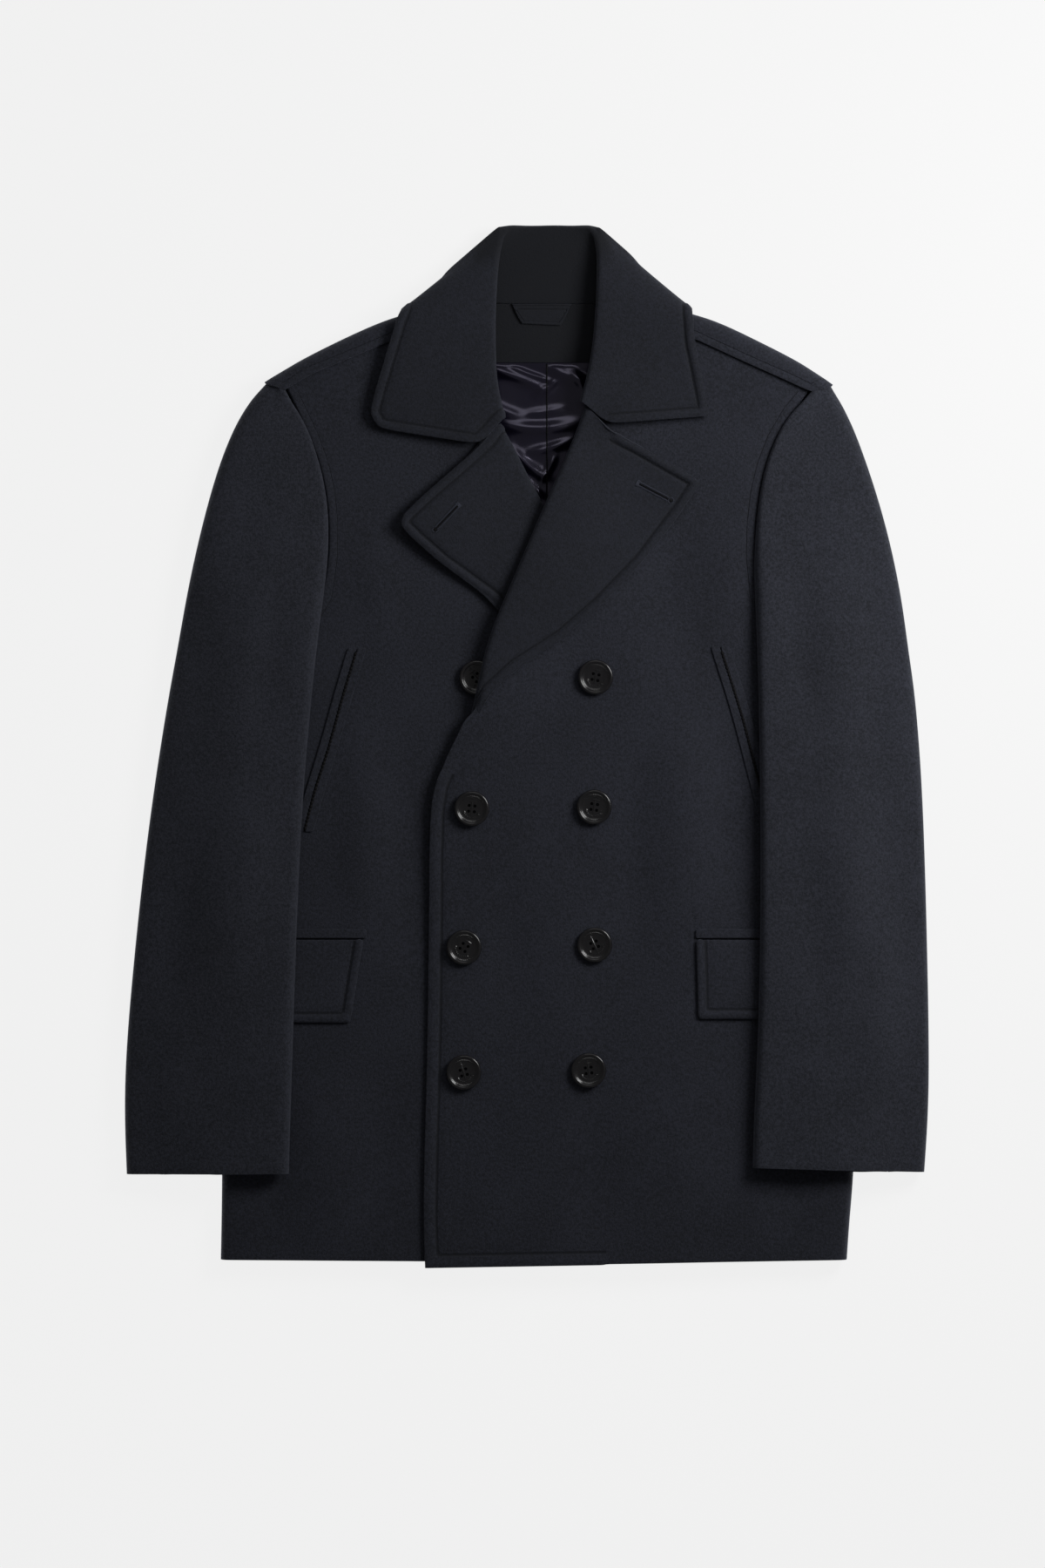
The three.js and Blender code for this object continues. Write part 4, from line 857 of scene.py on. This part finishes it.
def spindle(made, start, end, radius):
    """A stretched sphere from start to end, with few faces, because there are hundreds of them."""
    turn = (end - start).to_track_quat("Z", "Y").to_matrix().to_4x4()
    stretch = Matrix.Diagonal((radius * MM, radius * MM, (end - start).length / 2, 1))
    place = Matrix.Translation((start + end) / 2) @ turn @ stretch
    bmesh.ops.create_uvsphere(
        made, u_segments=SPINDLE_SIDES, v_segments=SPINDLE_RINGS, radius=1.0, matrix=place
    )


def dropped(surface, place, above=0.0):
    """The point of the cloth straight under a place, or None beside the cloth."""
    hit = surface.ray_cast(Vector((place.x, place.y, ABOVE_ALL)), -UP)[0]
    return None if hit is None else hit + UP * above * MM


def stitch_along(made, surface, line):
    """Stitches at an even pitch along a line of points."""
    travelled = 0.0
    for a, b in zip(line, line[1:]):
        step = (b - a).length / MM
        travelled = travelled + step if step < JUMP else 0.0
        if travelled < STITCH_PITCH:
            continue
        travelled = 0.0
        half = (b - a).normalized() * STITCH_LENGTH / 2 * MM
        first, last = surface.find_nearest(b - half)[0], surface.find_nearest(b + half)[0]
        if (first - last).length > SHORTEST * MM:
            spindle(made, first, last, STITCH_RADIUS)


def stitch_lines(row):
    """The lines of a row of stitches, each cut short where it would cross another."""
    edges = sewn_edges(row)
    tree = tree_of([p for edge in edges for p, _, _ in edge])
    lines = []
    for edge in edges:
        line = [p + inward * row["inset"] * MM for p, inward, _ in edge]
        lines.append([p for p in line if tree.find(p)[2] > (row["inset"] - CLEAR) * MM])
    return lines


def finished(name, made, material):
    """Turns a bmesh into a piece of the coat."""
    mesh = bpy.data.meshes.new(name)
    made.to_mesh(mesh)
    made.free()
    piece = new_object(name, mesh, material)
    piece.data.shade_smooth()
    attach(piece, "root")
    return piece


surfaces = {node: surface_of(cloth) for node, cloth in cloths.items()}
on_cloth = {node: [] for node in cloths}
for node in cloths:
    made = bmesh.new()
    for row in SEWING:
        if row["node"] == node:
            for line in stitch_lines(row):
                stitch_along(made, surfaces[node], line)
    if made.verts:
        on_cloth[node].append(finished("stitches_" + node, made, THREAD))
        print(node, "stitches:", len(on_cloth[node][0].data.vertices) // SPINDLE_POINTS)
    else:
        made.free()

# %% [markdown]
# Two dark lines are laid in: painted shade in the slit between the two lips of each welt pocket,
# and a dark line of thread on the seam down the middle of the lining.

# %% Painted shade in the welts' slits, and the lining's seam
SLIT_PITCH = 3
LIP_HEIGHT = 17.3 * MM
FAR_OFF = 0.5
OVERLAP = 0.25
WELT_PAIRS = [
    {"side": "right", "leftmost": "welt_back_right", "rightmost": "welt_front_right"},
    {"side": "left", "leftmost": "welt_front_left", "rightmost": "welt_back_left"},
]
SEAM_ROWS = range(170, 318, 2)
SLIT_LINE = {"radius": 1.5, "lift": (0, 0, 0.9)}
SEAM_LINE = {"radius": 0.75, "lift": (-0.7, 0, 0.1)}


def edge_beside(wall, y, x_from, way):
    """Where a level ray at y meets the side of a wall."""
    hit = wall.ray_cast(Vector((x_from, y, LIP_HEIGHT)), Vector((way, 0, 0)))[0]
    return None if hit is None else hit.x


def slit_places(pair):
    """The middle of the gap between the two lips of a welt pocket."""
    low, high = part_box(pair["leftmost"])
    walls = wall_of(pair["leftmost"]), wall_of(pair["rightmost"])
    places = []
    for k in range(int((high[1] - low[1]) / MM / SLIT_PITCH)):
        y = low[1] + (k + 0.5) * SLIT_PITCH * MM
        edges = (edge_beside(walls[0], y, FAR_OFF, -1), edge_beside(walls[1], y, -FAR_OFF, 1))
        if None not in edges:
            places.append(Vector((sum(edges) / 2, y, 0)))
    return places


def dark_line(name, places, surface, radius, lift):
    """A dark line over the places on a surface, lifted off it by lift in millimetres. In a slit it is
    painted shade.
    """
    made = bmesh.new()
    points = [dropped(surface, place) for place in places]
    for a, b in zip(points, points[1:]):
        if a is not None and b is not None:
            reach = (b - a) * OVERLAP
            spindle(made, a - reach, b + reach, radius)
    bmesh.ops.translate(made, verts=made.verts, vec=Vector(lift) * MM)
    return finished(name, made, DARK_THREAD_AND_SHADE)


for pair in WELT_PAIRS:
    side = pair["side"]
    line = dark_line("slit_welt_" + side, slit_places(pair), surfaces["front_" + side], **SLIT_LINE)
    on_cloth["welt_back_" + side].append(line)
    print(line.name, len(line.data.polygons), "faces")
seam_line = [Vector((CENTRE_SEAM + 0.9, y, 0)) * MM for y in SEAM_ROWS]
line = dark_line("seam_lining", seam_line, surfaces["lining_left"], **SEAM_LINE)
on_cloth["lining_left"].append(line)
print(line.name, len(line.data.polygons), "faces")

# %% [markdown]
# Each lapel has a keyhole buttonhole. The slit is cut, its two lips are overcast with thread laid
# side by side, the round eyelet takes the shank of the button and a bar holds the other end. The
# open slit and the eyelet's well are filled with dark spindles, as painted shade.

# %% Buttonholes
SLIT = 0.7
LIP = 1.7
OVERCAST_PITCH = 0.75
OVERCAST_RADIUS = 0.38
EYELET = 1.7
EYELET_LIP = 1.3
EYELET_THREADS = 14
TACK_THREADS = 5
TACK_PITCH = 0.5
TACK_HALF_WIDTH = 3.2
TACK_RADIUS = 0.35
PROUD = 0.2
LAPEL_HOLES = [
    {"node": "facing_left", "bar": (93.2, 216.0), "eyelet": (119.2, 202.4)},
    {"node": "facing_right", "bar": (-57.2, 197.6), "eyelet": (-75.6, 178.2)},
]


def bar_across(made, surface, middle, sideways, inner, outer, radius=OVERCAST_RADIUS):
    """One thread laid across, from inner to outer millimetres sideways of the middle."""
    ends = [dropped(surface, middle + sideways * d * MM, PROUD) for d in (inner, outer)]
    if None not in ends:
        spindle(made, ends[0], ends[1], radius)


def overcast(surface, start, end, along, sideways, length):
    """The threads round a hole: both lips, the eyelet's ring and the bar at the other end."""
    made = bmesh.new()
    for k in range(int(length / OVERCAST_PITCH)):
        middle = start + along * k * OVERCAST_PITCH * MM
        for side in (1, -1):
            bar_across(made, surface, middle, sideways * side, SLIT, SLIT + LIP)
    for k in range(EYELET_THREADS):
        spoke = Matrix.Rotation(2 * math.pi * k / EYELET_THREADS, 3, "Z") @ along
        bar_across(made, surface, end, spoke, EYELET, EYELET + EYELET_LIP)
    for k in range(TACK_THREADS):
        tack = start - along * TACK_PITCH * (k + 1) * MM
        bar_across(made, surface, tack, sideways, -TACK_HALF_WIDTH, TACK_HALF_WIDTH, TACK_RADIUS)
    return made


def dark_hole(surface, start, end, along, length):
    """Painted shade in the open slit and the well of the eyelet, as dark spindles."""
    made = bmesh.new()
    for k in range(int(length)):
        a, b = [dropped(surface, start + along * (k + d) * MM, 0.05) for d in (-0.3, 1.3)]
        spindle(made, a, b, SLIT)
    well = dropped(surface, end)
    spindle(made, well - UP * 0.5 * MM, well + UP * 0.3 * MM, EYELET)
    return made


for hole in LAPEL_HOLES:
    node = hole["node"]
    surface = surfaces[node]
    start = Vector((*hole["bar"], 0)) * MM
    end = Vector((*hole["eyelet"], 0)) * MM
    along = (end - start).normalized()
    sideways = Vector((-along.y, along.x, 0))
    length = (end - start).length / MM - EYELET
    threads = overcast(surface, start, end, along, sideways, length)
    on_cloth[node].append(finished("buttonhole_" + node, threads, BRIGHT_THREAD))
    slit = dark_hole(surface, start, end, along, length)
    on_cloth[node].append(finished("slit_" + node, slit, DARK_THREAD_AND_SHADE))
    print(node, "buttonhole:", round(length + EYELET, 1), "mm long")

# %% [markdown]
# The buttons are turned: a dished face with a raised, rounded rim. A profile is spun round the axis,
# four holes are bored with a Boolean, and a small anchor with a rope border is laid on the dish, as
# on many sea coats. One button is made, and every other one is a turned copy of its mesh.

# %% One button
BUTTON_PROFILE = [
    (0, 0.0), (3.2, 0.0), (3.2, 1.2), (9.5, 1.25), (13.0, 1.9), (14.1, 2.6), (14.5, 3.5), (14.3, 4.2),
    (13.7, 4.8), (12.9, 5.0), (12.1, 4.85), (11.5, 4.35), (10.8, 3.8), (9.0, 3.4), (5.0, 3.2), (0, 3.2),
]
BUTTON_SIDES = 56
HOLE_RADIUS = 1.25
HOLE_SPACING = 2.4
HOLES = [(x, y) for x in (-HOLE_SPACING, HOLE_SPACING) for y in (-HOLE_SPACING, HOLE_SPACING)]
DISH = 3.25
ANCHOR_BARS = [
    {"from": (0, 8.4), "to": (0, -7.6), "radius": 0.62},
    {"from": (-3.6, 6.0), "to": (3.6, 6.0), "radius": 0.55},
    {"from": (-6.6, -2.0), "to": (-4.6, -4.4), "radius": 0.6},
    {"from": (-7.4, -5.0), "to": (-5.2, -4.2), "radius": 0.6},
    {"from": (6.6, -2.0), "to": (4.6, -4.4), "radius": 0.6},
    {"from": (7.4, -5.0), "to": (5.2, -4.2), "radius": 0.6},
]
ANCHOR_ARCS = [
    {"radius": 1.2, "centre": (0, 9.2), "first": 0, "last": 360, "count": 9},
    {"radius": 6.6, "centre": (0, -1.0), "first": 205, "last": 335, "count": 10},
]
ARC_RADIUS = 0.5
ROPE_STRANDS = 44
ROPE_RADIUS = 0.34
ROPE_TWIST = 0.12
ROPE_INNER = {"radius": 9.9, "height": 3.55}
ROPE_OUTER = {"radius": 10.9, "height": 3.75}


def relief(made, a, b, radius):
    spindle(made, Vector((*a, DISH)) * MM, Vector((*b, DISH)) * MM, radius)


def arc(radius, centre, first, last, count):
    angles = np.radians(np.linspace(first, last, count))
    return [(centre[0] + radius * math.cos(a), centre[1] + radius * math.sin(a)) for a in angles]


def around(radius, turn, height):
    return Vector((radius * math.cos(turn), radius * math.sin(turn), height)) * MM


def turned_button():
    """The profile spun round the axis, as a turner would cut it."""
    made = bmesh.new()
    rows = [made.verts.new(Vector((r, 0, z)) * MM) for r, z in BUTTON_PROFILE]
    edges = [made.edges.new(pair) for pair in zip(rows, rows[1:])]
    bmesh.ops.spin(
        made, geom=rows + edges, cent=(0, 0, 0), axis=(0, 0, 1), angle=2 * math.pi,
        steps=BUTTON_SIDES, use_merge=True,
    )
    bmesh.ops.remove_doubles(made, verts=made.verts, dist=0.001 * MM)
    bmesh.ops.recalc_face_normals(made, faces=made.faces)
    body = bpy.data.meshes.new("button")
    made.to_mesh(body)
    made.free()
    return new_object("button", body, HORN)


def bored(body):
    """The button's mesh with its four holes."""
    drills = bmesh.new()
    for x, y in HOLES:
        bmesh.ops.create_cone(
            drills, cap_ends=True, segments=16, radius1=HOLE_RADIUS * MM, radius2=HOLE_RADIUS * MM,
            depth=20 * MM, matrix=Matrix.Translation((x * MM, y * MM, 0)),
        )
    mesh = bpy.data.meshes.new("drills")
    drills.to_mesh(mesh)
    drills.free()
    tool = new_object("drills", mesh, HORN)
    cut = body.modifiers.new("holes", "BOOLEAN")
    cut.operation = "DIFFERENCE"
    cut.solver = "EXACT"
    cut.object = tool
    ready = body.evaluated_get(bpy.context.evaluated_depsgraph_get())
    mesh = bpy.data.meshes.new_from_object(ready)
    for scrap in (body, tool):
        bpy.data.objects.remove(scrap)
    return mesh


button_mesh = bored(turned_button())
made = bmesh.new()
made.from_mesh(button_mesh)
for bar in ANCHOR_BARS:
    relief(made, bar["from"], bar["to"], bar["radius"])
for row in ANCHOR_ARCS:
    places = arc(**row)
    for a, b in zip(places, places[1:]):
        relief(made, a, b, ARC_RADIUS)
for k in range(ROPE_STRANDS):
    turn = 2 * math.pi * k / ROPE_STRANDS
    a = around(ROPE_INNER["radius"], turn, ROPE_INNER["height"])
    b = around(ROPE_OUTER["radius"], turn + ROPE_TWIST, ROPE_OUTER["height"])
    spindle(made, a, b, ROPE_RADIUS)
made.to_mesh(button_mesh)
made.free()
print("button:", len(button_mesh.polygons), "faces")

# %% [markdown]
# Every button is a copy of the one mesh, turned by its own angle, because a sewer never lines them up.
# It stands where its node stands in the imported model, lifted by the folds under it. Dark thread fills
# its four holes.

# %% Buttons on the coat
FACET_ANGLE = math.radians(42)
PLUG = {"bottom": 0.9, "top": 2.5, "radius": 1.15}
BUTTONS = {
    "button_over_1": -12, "button_over_2": -9, "button_over_3": 24, "button_over_4": 8,
    "button_under_1": 40, "button_under_2": -6, "button_under_3": -32, "button_under_4": 16,
}
for node, degrees in BUTTONS.items():
    low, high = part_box(node)
    x, y = (low[0] + high[0]) / 2, (low[1] + high[1]) / 2
    lift = FOLD_GAIN * total_height(x / MM, y / MM, BODY_FOLDS) * MM
    turn = Matrix.Rotation(math.radians(degrees), 4, "Z")
    place = Matrix.Translation((x, y, low[2] + lift)) @ turn
    turned = button_mesh.copy()
    turned.transform(place)
    button = new_object(node + "_turned", turned, HORN)
    button.data.shade_smooth()
    button.data.set_sharp_from_angle(angle=FACET_ANGLE)
    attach(button, "root")
    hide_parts(node)
    sewing = bmesh.new()
    for hole in HOLES:
        ends = [place @ (Vector((*hole, PLUG[end])) * MM) for end in ("bottom", "top")]
        spindle(sewing, ends[0], ends[1], PLUG["radius"])
    finished(node + "_thread", sewing, DARK_THREAD_AND_SHADE)
print("buttons:", len(BUTTONS))

# %% [markdown]
# Every cloth piece has a row here, with the size that its modelled part is cut to from flat cloth,
# its area, how it is held and what it lies on. A row that says nothing of how it is held means laid.

# %% Cut sizes
CUTS = [
    {"node": "back", "flat": (0.540, 0.800), "area": 0.400, "rests_on": "floor"},
    {"node": "front_right", "flat": (0.350, 0.785), "area": 0.220, "rests_on": "back"},
    {"node": "front_left", "flat": (0.365, 0.790), "area": 0.230, "rests_on": "front_right"},
    {"node": "sleeve_top_right", "flat": (0.185, 0.665), "area": 0.112, "rests_on": "floor"},
    {"node": "sleeve_top_left", "flat": (0.185, 0.665), "area": 0.112, "rests_on": "floor"},
    {"node": "sleeve_under_right", "flat": (0.130, 0.440), "area": 0.050, "rests_on": "floor"},
    {"node": "sleeve_under_left", "flat": (0.130, 0.440), "area": 0.053, "rests_on": "floor"},
    {"node": "facing_right", "flat": (0.200, 0.300), "area": 0.0225,
     "held": "folded", "rests_on": "front_right"},
    {"node": "facing_left", "flat": (0.200, 0.260), "area": 0.0235,
     "held": "folded", "rests_on": "front_left"},
    {"node": "collar", "flat": (0.450, 0.130), "area": 0.0565, "held": "folded", "rests_on": "back"},
    {"node": "facing_neck", "flat": (0.108, 0.052), "area": 0.0055, "rests_on": "back"},
    {"node": "hanger_loop", "flat": (0.050, 0.018), "area": 0.0008, "rests_on": "facing_neck"},
    {"node": "lining_right", "flat": (0.056, 0.165), "area": 0.0091,
     "held": "gathered", "rests_on": "back"},
    {"node": "lining_left", "flat": (0.054, 0.165), "area": 0.0088,
     "held": "gathered", "rests_on": "back"},
    {"node": "flap_right", "flat": (0.105, 0.068), "area": 0.0068, "rests_on": "front_right"},
    {"node": "flap_left", "flat": (0.108, 0.067), "area": 0.0072, "rests_on": "front_left"},
    {"node": "jet_right", "flat": (0.100, 0.010), "area": 0.0009, "rests_on": "front_right"},
    {"node": "jet_left", "flat": (0.108, 0.010), "area": 0.0010, "rests_on": "front_left"},
]
for lip in ("welt_front", "welt_back"):
    for side in ("right", "left"):
        welt = {"node": f"{lip}_{side}", "flat": (0.010, 0.165), "area": 0.0013}
        CUTS.append({**welt, "rests_on": "front_" + side})
for cut in CUTS:
    node = cut["node"]
print("cloth pieces:", len(CUTS), "with", round(sum(cut["area"] for cut in CUTS), 3), "square metres")
